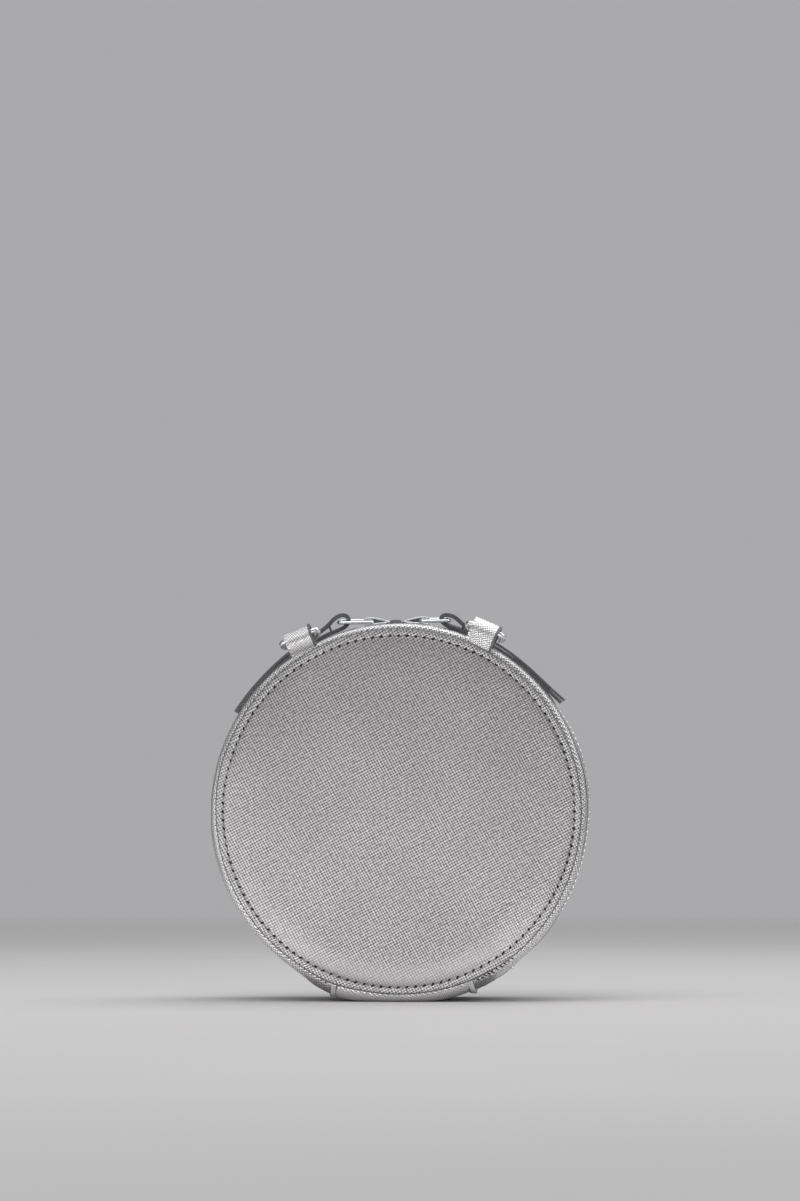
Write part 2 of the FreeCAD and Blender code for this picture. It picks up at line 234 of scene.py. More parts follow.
def noise_value(tree, place, scale, detail=2.0):
    """Soft random spots, about one over the scale apart in metres."""
    return node(tree, "ShaderNodeTexNoise", {"Vector": place, "Scale": scale, "Detail": detail}).outputs["Fac"]


def hatch_lines(tree, coordinate, pitch):
    """Ridges from 0 to 1 across a coordinate."""
    turns = math_node(tree, "MULTIPLY", math_node(tree, "DIVIDE", coordinate, pitch), 2 * math.pi)
    wave = math_node(tree, "SINE", turns)
    return node(tree, "ShaderNodeMath", {0: wave, 1: 0.5, 2: 0.5}, operation="MULTIPLY_ADD").outputs[0]


def uneven(tree, axes, along, across):
    """A coordinate across straight lines, shifted so that the lines come closer and further apart."""
    spot = node(tree, "ShaderNodeCombineXYZ", {0: math_node(tree, "MULTIPLY", axes[along], 0.16), 1: axes[across]})
    stray = noise_value(tree, spot.outputs[0], 330.0, 1.0)
    push = math_node(tree, "MULTIPLY", math_node(tree, "SUBTRACT", stray, 0.5), 0.75 * MM)
    return math_node(tree, "ADD", axes[across], push)


def hatch_field(tree, place, pitch):
    """Two crossing sets of ridges on tilted axes, as their two heights."""
    tilted = node(tree, "ShaderNodeMapping", {"Vector": place, "Rotation": (0, 0, HATCH_TILT)})
    axes = node(tree, "ShaderNodeSeparateXYZ", {0: tilted.outputs[0]}).outputs
    rising = hatch_lines(tree, uneven(tree, axes, "X", "Y"), pitch)
    falling = hatch_lines(tree, uneven(tree, axes, "Y", "X"), pitch)
    return rising, falling


rising, falling = hatch_field(grain, grain_in["Place"], grain_in["Pitch"])
winner = remap(grain, noise_value(grain, grain_in["Place"], 75.0), 0.35, 0.65, 0.42, 0.64)
rest = math_node(grain, "SUBTRACT", 1.0, winner)
shares = math_node(grain, "MULTIPLY", rising, winner), math_node(grain, "MULTIPLY", falling, rest)
woven = math_node(grain, "ADD", *shares)
speckle = remap(grain, noise_value(grain, grain_in["Place"], 650.0, 1.0), 0.3, 0.7, 0.72, 1.2)
lump = math_node(grain, "MULTIPLY", woven, speckle, clamp=True)
kept = math_node(grain, "SUBTRACT", 1.0, grain_in["Pressed"])
grain.links.new(math_node(grain, "MULTIPLY", lump, kept), grain_out["Height"])
level = math_node(grain, "MULTIPLY", math_node(grain, "SUBTRACT", lump, MEAN_LUMP), kept)
grain.links.new(math_node(grain, "ADD", level, MEAN_LUMP, clamp=True), grain_out["Lump"])
grain.links.new(noise_value(grain, grain_in["Place"], 28.0, 3.0), grain_out["Drift"])
print("grain group nodes:", len(grain.nodes))

# %% [markdown]
# ## Silver leather
# The film is a paint full of metal flakes: it mirrors softly and takes the colour of the room. The lumps keep most
# of the film and the pits hold dirt and shadow, so the colour, the roughness and the bump all follow the grain.

# %% Silver leather


def leather_grain(tree, pitch):
    """The grain group placed in a material, fed from the piece's own attributes."""
    pressed = node(tree, "ShaderNodeAttribute", attribute_name="pressed").outputs["Fac"]
    inputs = {"Place": hide_place(tree), "Pressed": pressed, "Pitch": pitch}
    return node(tree, "ShaderNodeGroup", inputs, node_tree=grain).outputs


def silver_leather(name, pit, film, pitch, bump_height=0.2, rough=(0.52, 0.34)):
    """A silver leather with its own pit and film colours, rough in the pits and smoother on the lumps."""
    material, tree, shader = new_finish(name, Metallic=0.72)
    field = leather_grain(tree, pitch)
    shine = remap(tree, field["Lump"], 0.12, 0.8, 0.0, 1.0)
    colour = blend_colours(tree, shine, pit, film)
    shade = remap(tree, field["Drift"], 0.3, 0.7, 0.0, 0.14)
    tree.links.new(blend_colours(tree, shade, colour, pit), shader.inputs["Base Color"])
    tree.links.new(remap(tree, field["Lump"], 0.1, 0.9, *rough), shader.inputs["Roughness"])
    add_bump(tree, shader, field["Height"], 0.55, bump_height * MM)
    return material


silver = silver_leather("silver_leather", (0.07, 0.067, 0.07, 1), (0.655, 0.637, 0.644, 1), 1.24 * MM)
# The strips, base and welts take the same leather with its film painted far lighter than the panels': painted
# highlight.
strip_silver = silver_leather(
    "strip_silver", (0.15, 0.146, 0.148, 1), (0.93, 0.915, 0.92, 1), 1.15 * MM, 0.32, (0.4, 0.24)
)
strap_silver = silver_leather(
    "strap_silver", (0.32, 0.312, 0.318, 1), (0.83, 0.816, 0.82, 1), 1.05 * MM, rough=(0.44, 0.28)
)
print("leathers:", silver.name, strip_silver.name, strap_silver.name)

# %% [markdown]
# ## Painted edges, thread and painted shade
# The cut edges of the leather are sealed with a dark grey paint that dries a little uneven, and the same finish
# also paints shade lines on the strips and between the pulls' layers. The thread is a twisted grey polyester. Each
# needle hole is a slit whose black is painted shade, as are the dips of the lap stitches and the creases of the
# gathered roll.

# %% Painted edges, thread and painted shade


def object_place(tree):
    """The place on the bag, in metres."""
    return node(tree, "ShaderNodeTexCoord").outputs["Object"]


def mottled(name, dark, light, scale, bump_height, rough, **plain):
    """A finish whose colour, gloss and height vary in soft spots."""
    material, tree, shader = new_finish(name, **plain)
    spots = noise_value(tree, object_place(tree), scale, 4.0)
    spread = remap(tree, spots, 0.3, 0.7, 0.0, 1.0)
    tree.links.new(blend_colours(tree, spread, dark, light), shader.inputs["Base Color"])
    tree.links.new(remap(tree, spots, 0.3, 0.7, *rough), shader.inputs["Roughness"])
    add_bump(tree, shader, spots, 0.4, bump_height)
    return material


edge_paint_and_shade = mottled("edge_paint_and_shade", (0.085, 0.088, 0.095, 1), (0.13, 0.135, 0.145, 1), 900.0, 0.08 * MM, (0.36, 0.5))
thread = mottled("thread", (0.2, 0.2, 0.205, 1), (0.34, 0.34, 0.345, 1), 2600.0, 0.1 * MM, (0.5, 0.7))
painted_black_shade = mottled(
    "painted_black_shade", (0.004, 0.004, 0.004, 1), (0.012, 0.012, 0.012, 1), 2000.0, 0.02 * MM, (0.8, 0.9)
)
print("small finishes:", edge_paint_and_shade.name, thread.name, painted_black_shade.name)

# %% [markdown]
# ## Metal
# The rings, links and sliders are polished and plated bright. The teeth are duller, because tumbling rounds and
# scuffs them. Both are pure metal, and fine smudges in the roughness break up the mirror.

# %% Metal
chrome = mottled("chrome", (0.66, 0.67, 0.69, 1), (0.82, 0.83, 0.85, 1), 420.0, 0.01 * MM, (0.07, 0.15), Metallic=1.0)
zip_metal = mottled(
    "zip_metal", (0.42, 0.42, 0.43, 1), (0.66, 0.66, 0.67, 1), 700.0, 0.03 * MM, (0.2, 0.36), Metallic=1.0
)
# The slider's lock under its bridge takes a dark metal: painted shade inside the arch.
painted_shade_metal = mottled(
    "painted_shade_metal", (0.13, 0.13, 0.135, 1), (0.2, 0.2, 0.21, 1), 600.0, 0.02 * MM, (0.3, 0.45), Metallic=1.0
)
print("metals:", chrome.name, zip_metal.name, painted_shade_metal.name)

# %% [markdown]
# ## Woven tape and lining, and the board
# The zip tape and the lining are woven.

# %% Woven cloth and board
weave, weave_in, weave_out = new_group(
    "weave", {"Place": "Vector", "Pitch": "Float"}, {"Height": "Float", "Shade": "Float"}
)
threads = node(weave, "ShaderNodeSeparateXYZ", {0: weave_in["Place"]}).outputs
warp = hatch_lines(weave, math_node(weave, "ADD", threads["X"], threads["Y"]), weave_in["Pitch"])
weft = hatch_lines(weave, math_node(weave, "SUBTRACT", threads["X"], threads["Y"]), weave_in["Pitch"])
over = math_node(weave, "MULTIPLY", warp, weft)
slub = remap(weave, noise_value(weave, weave_in["Place"], 900.0, 2.0), 0.3, 0.7, 0.7, 1.1)
weave.links.new(over, weave_out["Height"])
weave.links.new(math_node(weave, "MULTIPLY", over, slub, clamp=True), weave_out["Shade"])


def woven_cloth(name, dark, light, pitch):
    """A cloth woven at a pitch, on the piece's own place attribute."""
    material, tree, shader = new_finish(name, Roughness=0.82)
    placed = node(tree, "ShaderNodeGroup", {"Place": hide_place(tree), "Pitch": pitch}, node_tree=weave).outputs
    tree.links.new(blend_colours(tree, placed["Shade"], dark, light), shader.inputs["Base Color"])
    add_bump(tree, shader, placed["Height"], 0.5, 0.15 * MM)
    return material


tape_cloth = woven_cloth("tape_cloth", (0.075, 0.077, 0.082, 1), (0.2, 0.2, 0.207, 1), 0.9 * MM)
lining_cloth = woven_cloth("lining_cloth", (0.05, 0.048, 0.047, 1), (0.17, 0.163, 0.158, 1), 0.8 * MM)
board = mottled("board", (0.2, 0.14, 0.09, 1), (0.34, 0.25, 0.17, 1), 260.0, 0.2 * MM, (0.8, 0.95))
for name in ("back_board", "front_board"):
    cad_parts[name].data.materials.clear()
    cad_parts[name].data.materials.append(board)
print("cloths:", tape_cloth.name, lining_cloth.name, "and", board.name, "on both boards")

# %% [markdown]
# ## Mesh helpers
# A leather piece needs two attributes: its place on the hide in metres, and how far the grain is pressed flat. The
# layers are made before any vertex, and a spin or an extrusion copies them along, so a section drawn once can carry
# its own distance across the strip.

# %% Mesh helpers


def leather_mesh():
    """An empty bmesh with the hide's layers."""
    bm = bmesh.new()
    bm.verts.layers.float_vector.new("hide_place")
    bm.verts.layers.float.new("pressed")
    return bm


def draw_line(bm, points):
    """A line of edges, whose hide place runs along it. Returns its vertices and edges."""
    place = bm.verts.layers.float_vector["hide_place"]
    line = [bm.verts.new(point) for point in points]
    run = 0.0
    for before, here in zip(line, line[1:]):
        run += (here.co - before.co).length
        here[place] = (0, run, 0)
    return line + [bm.edges.new(pair) for pair in zip(line, line[1:])]


def only(kind, items):
    """The vertices, edges or faces among the items that an operator made."""
    return [item for item in items if isinstance(item, kind)]


def extrude_by(bm, edges, move):
    """Extrudes edges by a move, and returns all that this makes."""
    made = bmesh.ops.extrude_edge_only(bm, edges=edges)["geom"]
    bmesh.ops.translate(bm, verts=only(BMVert, made), vec=move)
    return made


def spin_on(bm, line, angle, steps):
    """Spins a line round the bag's axis by an angle, and returns where it ends."""
    whole, turn = abs(angle) >= 360, math.radians(angle)
    made = bmesh.ops.spin(bm, geom=line, cent=CENTRE, axis=(0, 1, 0), angle=turn, steps=steps, use_merge=whole)
    return made["geom_last"]


def spin_line(bm, section, start, end, steps):
    """Draws a section of (y, radius) at an angle and spins it on to another angle."""
    line = draw_line(bm, [round_point(start, y, radius) for y, radius in section])
    return spin_on(bm, line, end - start, steps)


def close_poles(bm):
    """Merges the points that a full spin leaves on the axis, and turns the closed piece's faces out."""
    bmesh.ops.remove_doubles(bm, verts=bm.verts, dist=MM / 1000)
    bmesh.ops.recalc_face_normals(bm, faces=bm.faces)


def turn_outwards(bm):
    """Turns an open sheet's faces away from the bag's axis."""
    bm.normal_update()
    away = 0.0
    for face in bm.faces:
        reach = face.calc_center_median() - CENTRE
        away += face.calc_area() * (face.normal.x * reach.x + face.normal.z * reach.z)
    if away < 0:
        bmesh.ops.reverse_faces(bm, faces=bm.faces)


def lay_hide(bm, place_of, press_of=None):
    """Fills in each vertex's place on the hide, and how far it is pressed."""
    place = bm.verts.layers.float_vector["hide_place"]
    pressed = bm.verts.layers.float["pressed"]
    for vert in bm.verts:
        vert[place] = place_of(vert.co, vert[place])
        vert[pressed] = press_of(vert.co) if press_of else 0.0


STRIP_RADIUS = 88


def along_strip(point, place):
    """A strip's place: the arc round the bag, and the way across that the section carries."""
    return (math.radians(angle_of(point)) * STRIP_RADIUS * MM, place[1], 0)


print("mesh helpers ready")

# %% [markdown]
# ## Finishing helpers
# A drawn mesh becomes an object at the origin, and modifiers round it off and give it its thickness, so the drawn
# line stays easy to change. Each piece then says which moving body it rides on and which CAD solids it stands for.

# %% Finishing helpers


def make_piece(name, bm, *materials, sharp=None):
    """Turns a bmesh into a smooth-shaded object at the origin."""
    mesh = bpy.data.meshes.new(name)
    bm.to_mesh(mesh)
    bm.free()
    for material in materials:
        mesh.materials.append(material)
    mesh.shade_smooth()
    if sharp:
        mesh.set_sharp_from_angle(angle=math.radians(sharp))
    piece = bpy.data.objects.new(name, mesh)
    bpy.context.scene.collection.objects.link(piece)
    return piece


def subdivide(piece, levels):
    """Rounds a piece off with a subdivision surface that keeps its corners."""
    smooth = piece.modifiers.new("round off", "SUBSURF")
    smooth.levels = smooth.render_levels = levels
    smooth.boundary_smooth = "PRESERVE_CORNERS"


def thicken(piece, thickness, edge_slot=0, offset=-1.0):
    """Gives a sheet its thickness, in mm. The cut edges may take a later material slot."""
    wall = piece.modifiers.new("thickness", "SOLIDIFY")
    wall.thickness = thickness * MM
    wall.offset = offset
    wall.material_offset_rim = edge_slot
    return wall


def round_edges(piece, width, segments):
    """Bevels the edges of a thickened piece, by a width in mm."""
    rounding = piece.modifiers.new("edges", "BEVEL")
    rounding.width, rounding.segments = width * MM, segments


def stand_for(piece, slot, *nodes):
    """The piece stands for CAD nodes, which are hidden. The slot is not used."""
    if nodes:
        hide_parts(*nodes)


def belong(piece, body, slot, *nodes):
    """The piece rides on a body and stands for CAD nodes. The slot is not used."""
    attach(piece, body)
    stand_for(piece, slot, *nodes)


print("finishing helpers ready")

# %% [markdown]
# ## Round panels
# Each panel is a disc of leather over a board. The seam near its edge pulls it in, so between the stitches it crowns
# by a millimetre and rolls down to the seam, and outside the seam it lies flat as far as its painted edge. A section
# spun round the axis gives that directly, with its points closest where it turns most.

# %% Round panels
STITCH_RADIUS = 81.6
PANEL_SECTION = [
    (-1.25, 0), (-1.25, 14), (-1.25, 28), (-1.24, 40), (-1.22, 48), (-1.18, 56), (-1.12, 62), (-1.04, 66.5),
    (-0.94, 70), (-0.82, 73), (-0.68, 75.5), (-0.53, 77.4), (-0.38, 79), (-0.22, 80.2), (-0.04, 81), (0.12, 81.35),
    (0.18, 81.6), (0.12, 81.85), (0, 82.2), (-0.06, 82.8), (-0.08, 83.5), (-0.04, 84.1), (0.06, 84.5), (0.24, 84.8),
    (0.5, 84.97), (0.8, 85), (1.1, 84.95), (1.35, 84.7), (1.45, 84.2), (1.45, 60), (1.45, 0),
]


def panel_press(point):
    """The grain is stretched smooth where the lower part rolls down to the seam, and flatter outside the seam."""
    radius = radius_of(point)
    low_part = soft_step(105, 165, abs(angle_of(point)))
    outside = soft_step(81, 82.5, radius)
    return soft_step(66, 80, radius) * (1 - outside) * (0.1 + 0.5 * low_part) + 0.12 * outside


# Each place where the edge stands out: its angle, how wide it is in degrees, and how far it reaches in mm.
LOOSE_EDGE = ((140, 20, 0.75), (-158, 8, 0.8), (-77, 10, 0.5))
HALF_DEPTH = 35


def make_panel(name, side):
    """One panel. The side is -1 for the back and 1 for the front."""
    bm = leather_mesh()
    spin_line(bm, [(side * (HALF_DEPTH - y), radius) for y, radius in PANEL_SECTION], 0, 360, 256)
    close_poles(bm)
    for face in bm.faces:
        middle = face.calc_center_median()
        face.material_index = int(radius_of(middle) > 84.55 and abs(middle.y) > 33.6 * MM)
    for vert in bm.verts:
        if abs(vert.co.y) > HALF_DEPTH * MM and radius_of(vert.co) < 81:
            vert.co.y += side * 0.3 * MM * noise.noise(vert.co * 22 + Vector((side, 0, 0)))
        angle = angle_of(vert.co)
        further = sum(reach * math.exp(-(((angle - at) / width) ** 2)) for at, width, reach in LOOSE_EDGE)
        vert.co += outwards(angle) * further * soft_step(83, 84.8, radius_of(vert.co))
    lay_hide(bm, lambda point, place: (point.x, point.z, 0), panel_press)
    return make_piece(name, bm, silver, edge_paint_and_shade)


belong(make_panel("back_panel_leather", -1), "back_half", "silver_leather", "back_panel")
belong(make_panel("front_panel_leather", 1), "front_half", "silver_leather", "front_panel")
print("panels: crown of 1.25 mm, stitched at radius", STITCH_RADIUS)

# %% [markdown]
# ## Seam round each panel
# The seam is sewn by hand-style pricking: slanted slits four millimetres apart, with the thread lying between them.
# One slit and one stitch are made at the top, and a spin that duplicates carries them round. A little noise moves
# them off a perfect circle, as on the real seam. Unseeded, this kind of noise differs from run to run, so a fixed seed
# is set, and each run sews the same seam.

# %% Seam round each panel
SEAM_STITCHES = 128
SEAM_SEED = 1
noise.seed_set(SEAM_SEED)


def seat_at(point, *axes):
    """A frame at a point, with its x, y and z axes."""
    seat = Matrix(axes).transposed().to_4x4()
    seat.translation = point
    return seat


def panel_seat(y, radius, angle, side):
    """A frame on a panel: x along the seam, y away from the axis, z out of the leather."""
    along, out = directions(angle)
    return seat_at(round_point(angle, y, radius), along * -side, out, (0, side, 0))


def add_grain(bm, seat, size, slant, slot):
    """A small rounded grain of a length, width and height in mm, turned on its seat."""
    shape = seat @ Matrix.Rotation(math.radians(slant), 4, "Z") @ Matrix.Diagonal((*(Vector(size) * MM / 2), 1))
    made = bmesh.ops.create_uvsphere(bm, u_segments=8, v_segments=4, radius=1, matrix=shape)["verts"]
    for face in {face for vert in made for face in vert.link_faces}:
        face.material_index = slot


def repeat_round(bm, copies, angle):
    """Copies what is there round the bag's axis, over an angle."""
    everything = bm.verts[:] + bm.edges[:] + bm.faces[:]
    bmesh.ops.spin(
        bm, geom=everything, cent=CENTRE, axis=(0, 1, 0), angle=math.radians(angle), steps=copies, use_duplicate=True
    )


def wander(bm, amount):
    """Moves points a little off their line, in mm."""
    for vert in bm.verts:
        vert.co += noise.noise_vector(vert.co * 60) * amount * MM


def make_seam(name, side):
    """The stitches of one panel's seam, and its slits, whose black is painted shade."""
    bm = bmesh.new()
    step = 360 / SEAM_STITCHES
    face = side * 34.97
    # The slit is a black grain: painted shade in the needle hole.
    add_grain(bm, panel_seat(face, STITCH_RADIUS, 0, side), (1.85, 1.1, 0.56), 33, 1)
    add_grain(bm, panel_seat(face, STITCH_RADIUS, step / 2, side), (2.9, 0.42, 0.34), -7, 0)
    repeat_round(bm, SEAM_STITCHES - 1, 360 - step)
    wander(bm, 0.22)
    return make_piece(name, bm, thread, painted_black_shade)


belong(make_seam("back_panel_seam", -1), "back_half", "silver_leather")
belong(make_seam("front_panel_seam", 1), "front_half", "silver_leather")
print("stitches in a panel seam:", SEAM_STITCHES)

# %% [markdown]
# ## How the zip runs
# A sewn zip is never a true circle: on this bag it lies a millimetre further in or out from place to place, and the
# strips beside it follow. A short table of angles and heights with soft steps between them says how far, and every
# piece near the zip reads it.

# %% How the zip runs
ZIP_LINE = [
    (-161, 1.2), (-154, 0.7), (-149, 0), (-144, -0.5), (-139, -0.6), (-133, -0.3), (-126, 0), (80, 0), (88, -0.5),
    (97, -1.2), (117, -1.1), (123, -0.6), (129, 0), (140, 0), (148, 1.0), (158, 1.5),
]
LAP_SINKS = 0.7


def zip_line(angle):
    """How far the zip and the strips beside it run off a true circle, in mm."""
    for (start, before), (end, after) in zip(ZIP_LINE, ZIP_LINE[1:]):
        if start <= angle <= end:
            return before + (after - before) * soft_step(start, end, angle)
    return 0.0


# Over the top the lap sinks, and under the pulls the tape is lifted, so that the dark tape shows there as painted
# shade.
def tape_out(angle):
    """1 where the tape stands out from under the laps: below the pulls and down the left side. 0 elsewhere."""
    return soft_step(-98, -86, angle) * soft_step(9, 14, abs(angle)) * (1 - soft_step(52, 60, angle))


def lap_line(angle):
    """The same for the lap beside the zip, which sinks lower over the top, in mm."""
    return zip_line(angle) - LAP_SINKS * max(1 - soft_step(52, 72, abs(angle)), tape_out(angle))


print("the zip runs from", ZIP_LINE[0][0], "to", ZIP_LINE[-1][0], "degrees")

# %% [markdown]
# ## Gusset strips
# A strip of leather runs round each half. It is sewn flat behind the panel, rolls over a soft edge just outside it,
# and folds under itself beside the zip. One section spun round the axis makes all of that. At the ends, near the
# base, the roll is gathered to turn the corner, so small pleats are pushed in there.
# The front strip crosses the hinge, so it bends: low down it stays with the back half, and higher up and towards the
# front panel it swings open with the front.

# %% Gusset strips
LEFT_END, RIGHT_END = -160.3, 157.7
FINER_FROM = 138
GUSSET_SECTION = [
    (33.45, 79.5), (33.45, 82.5), (33.45, 85.2), (33.25, 86.1), (32.6, 87.0), (31.6, 87.5), (30.4, 87.5), (29.4, 87.1),
    (28.6, 86.8), (27.6, 86.9), (26, 87.2), (23.6, 87.6), (23, 87.75), (22.7, 88.25), (22.2, 88.4), (20.5, 88.6),
    (16.5, 89.1), (11, 89.4), (7.2, 89.5), (5.7, 89.45), (5.05, 89.1), (5, 88.6), (5.5, 88.25), (7, 88.15), (14, 88.1),
]
FOLD_START = Vector((0, 5, 22)) * MM
FOLD_END = Vector((0, 22.65, 29.74)) * MM


def fold_open(piece, slot, *nodes):
    """The piece bends across the hinge between the two halves."""
    stand_for(piece, slot, *nodes)
    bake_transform(piece, "back_half", "front_half", FOLD_START, FOLD_END)


def settle(point):
    """How far the left end of the base has sunk at a point, in metres."""
    depth = soft_step(8, 30, -point.x / MM) * (1 - soft_step(5, 14, point.z / MM))
    return 1.2 * MM * depth


def pleat(point):
    """How far the gathered roll ripples in near the strip's ends, in mm."""
    angle, radius = angle_of(point), radius_of(point)
    width = soft_step(140, 144, angle) * (1 - soft_step(156.6, 157.6, angle)) + 0.8 * soft_step(153, 156, -angle)
    on_roll = soft_step(31.2, 32.6, abs(point.y) / MM) * soft_step(83.5, 85, radius)
    slanted = angle + 0.7 * (radius - 86)
    return 0.6 * width * on_roll * math.sin(math.radians(slanted) * 360 / 1.5 + 2 * noise.noise(point * 90))


def make_gusset(name, side):
    """One half's leather strip."""
    bm = leather_mesh()
    last = spin_line(bm, [(side * y, radius) for y, radius in GUSSET_SECTION], LEFT_END, FINER_FROM, 400)
    spin_on(bm, last, RIGHT_END - FINER_FROM, 60)
    turn_outwards(bm)
    lay_hide(bm, along_strip)
    for face in bm.faces:
        # A thin band at the foot of the step beside the groove takes the dark paint, over the top and sides only: a
        # painted shade line.
        middle = face.calc_center_median()
        face.material_index = int(22.6 < abs(middle.y) / MM < 23.1 and abs(angle_of(middle)) < 104)
    for vert in bm.verts:
        angle = angle_of(vert.co)
        beside_zip = 1 - soft_step(14, 27, abs(vert.co.y) / MM)
        ripple = pleat(vert.co) + 0.18 * noise.noise(vert.co * 45) * soft_step(86, 87, radius_of(vert.co))
        vert.co += outwards(angle) * (lap_line(angle) * beside_zip - ripple)
        vert.co.z -= settle(vert.co)
    piece = make_piece(name, bm, strip_silver, edge_paint_and_shade)
    subdivide(piece, 1)
    thicken(piece, 0.7)
    return piece


belong(make_gusset("back_gusset_leather", -1), "back_half", "silver_leather", "back_gusset")
fold_open(make_gusset("front_gusset_leather", 1), "silver_leather", "front_gusset")
print("gussets from", LEFT_END, "to", RIGHT_END, "degrees")

# %% [markdown]
# ## Topstitching beside the zip
# The folded edge of each strip is sewn down to the zip tape, a few millimetres from the fold. Each stitch is one
# small grain with its dip in black, which is painted shade, carried along the strip in the same way as the panel's
# seam. Where the roll is gathered near the base, the shade in its slanted creases is painted as black grains too, each
# with its angle and length.

# %% Topstitching beside the zip
LAP_STITCHES = 124
PLEATS = (
    (142.3, 1.5), (143.7, 1.8), (145.1, 2.7), (146.5, 2.6), (148, 1.6), (149.7, 3.0), (150.8, 2.6), (152, 2.0),
    (153.2, 1.6), (154.6, 2.2), (-157, 2.2),
)


def strip_seat(y, radius, angle):
    """A frame on a strip: x along the zip, y along the bag's axis, z out of the leather."""
    along, out = directions(angle)
    return seat_at(round_point(angle, y, radius), along, (0, 1, 0), out)


def make_lap_stitches(name, side):
    """The row of stitches beside the zip, and the painted shade in the gathered roll's creases."""
    bm = bmesh.new()
    start, end = LEFT_END + 3, RIGHT_END - 3
    step = (end - start) / LAP_STITCHES
    add_grain(bm, strip_seat(side * 8.4, 89.48, start), (1.2, 0.6, 0.2), 20, 1)
    add_grain(bm, strip_seat(side * 8.4, 89.48, start + step / 2), (3.1, 0.5, 0.4), -4, 0)
    repeat_round(bm, LAP_STITCHES - 1, end - start - step)
    for vert in bm.verts:
        angle = angle_of(vert.co)
        vert.co += outwards(angle) * lap_line(angle)
    for angle, length in PLEATS:
        roll = panel_seat(side * 33.1, 86.2, angle, side) @ Matrix.Rotation(math.radians(-40), 4, "X")
        add_grain(bm, roll, (length, 0.6, 0.9), 124, 1)
    wander(bm, 0.15)
    return make_piece(name, bm, thread, painted_black_shade)


belong(make_lap_stitches("back_lap_stitches", -1), "back_half", "silver_leather")
fold_open(make_lap_stitches("front_lap_stitches", 1), "silver_leather")
print("stitches beside the zip:", LAP_STITCHES, "on each side")

# %% [markdown]
# ## Base
# Between the two ends of the zip a plain piece of leather closes the drum, rolled at both rims like the strips but a
# little fuller. Its section is spun over the lowest part only, and then pressed flat where it stands: each point is
# lifted to the floor with a smooth maximum, so the flat fades into the curve.

# %% Base
BASE_HALF = [
    (33.3, 79.5), (33.3, 82.5), (33.3, 85.3), (33.05, 86.6), (32.3, 88), (31, 89.2), (29.4, 89.95), (27.4, 90.2),
    (24, 90.2), (16, 90.15), (8, 90.1),
]
SOFT_TURN = 0.7


def stand_flat(bm, floor=0.0):
    """Presses a piece flat on a level, in mm, with a soft turn."""
    for vert in bm.verts:
        above = vert.co.z / MM - floor
        vert.co.z = (floor + (above + math.hypot(above, SOFT_TURN)) / 2) * MM


def make_base():
    """The base leather."""
    bm = leather_mesh()
    section = [(-y, radius) for y, radius in BASE_HALF] + [(0, 90.1)] + BASE_HALF[::-1]
    spin_line(bm, section, RIGHT_END + 0.3, 359.7 + LEFT_END, 64)
    turn_outwards(bm)
    lay_hide(bm, lambda point, place: (point.x, place[1], 0), lambda point: 0.35)
    for vert in bm.verts:
        vert.co.z -= settle(vert.co)
    stand_flat(bm)
    piece = make_piece("base_leather", bm, strip_silver)
    subdivide(piece, 1)
    thicken(piece, 1.1)
    return piece


fold_open(make_base(), "silver_leather", "base")
lowest = min(vert.co.z for vert in bpy.data.objects["base_leather"].data.vertices)
print("base lowest point in mm:", round(lowest / MM, 2))

# %% [markdown]
# ## Seam welts
# A narrow folded band covers the seam where each strip meets the base. It is a strap laid over the roll: a line along
# the roll, extruded across its width, cut into rows, crowned in the middle, and given a dark cut edge.

# %% Seam welts
WELT_LINE = [
    (33.5, 85), (33.3, 86.4), (32.7, 88), (31.7, 89.6), (30.2, 90.7), (28, 91.25), (24, 91.35), (14, 91.3), (0, 91.3),
]
# On each side: where the welt begins, how wide it is, and how much it leans.
WELTS = {-1: (28.7, 3.4, 0.09), 1: (32.4, 3.7, 0.3)}


def painted_band(bm, across, width, paint=0.35, first=1):
    """Extrudes the drawn line across a band. The paint of its cut edges laps over on to both sides."""
    edges = bm.edges[:]
    for slot, share in ((first, paint), (0, width / 2 - paint), (0, width / 2 - paint), (1, paint)):
        made = extrude_by(bm, edges, across * share)
        for face in only(BMFace, made):
            face.material_index = slot
        edges = only(BMEdge, made)
    return edges


def make_welt(name, side):
    """One welt, at the left or the right end of the base."""
    bm = leather_mesh()
    inner, width, lean = WELTS[side]
    line = [(-y, radius) for y, radius in WELT_LINE[:-1]] + WELT_LINE[::-1]
    points = []
    for y, radius in line:
        drop = math.sqrt(radius**2 - (inner + width / 2) ** 2)
        points.append(Vector((side * inner, y, CENTRE.z / MM - drop)) * MM)
    draw_line(bm, points)
    outer = painted_band(bm, Vector((side, 0, 0)), width * MM, 0.45 * MM)
    tucked = bmesh.ops.extrude_edge_only(bm, edges=outer)["geom"]
    for face in only(BMFace, tucked):
        face.material_index = 0
    for vert in only(BMVert, tucked):
        inwards = -math.copysign(1, vert.co.y) * soft_step(24, 31, abs(vert.co.y) / MM)
        vert.co += Vector((-side * 0.4, inwards, 3.2)) * MM
    lay_hide(bm, lambda point, place: (point.x, place[1], 0), lambda point: 0.6)
    turn_outwards(bm)
    for vert in bm.verts:
        middle = 1 - (abs(abs(vert.co.x) / MM - inner - width / 2) / (width / 2)) ** 2
        away = Vector((0, vert.co.y * 1.5, vert.co.z - CENTRE.z)).normalized()
        vert.co += away * (0.55 * middle - 0.25) * MM
        vert.co.x += lean * (vert.co.z - 6 * MM) * -side
        if side > 0:
            low_back = soft_step(26, 31, -vert.co.y / MM) * (1 - soft_step(4, 6.5, vert.co.z / MM))
            vert.co.x += 0.9 * MM * middle * low_back
    stand_flat(bm)
    piece = make_piece(name, bm, strip_silver, edge_paint_and_shade)
    subdivide(piece, 2)
    thicken(piece, 0.8, edge_slot=1)
    return piece


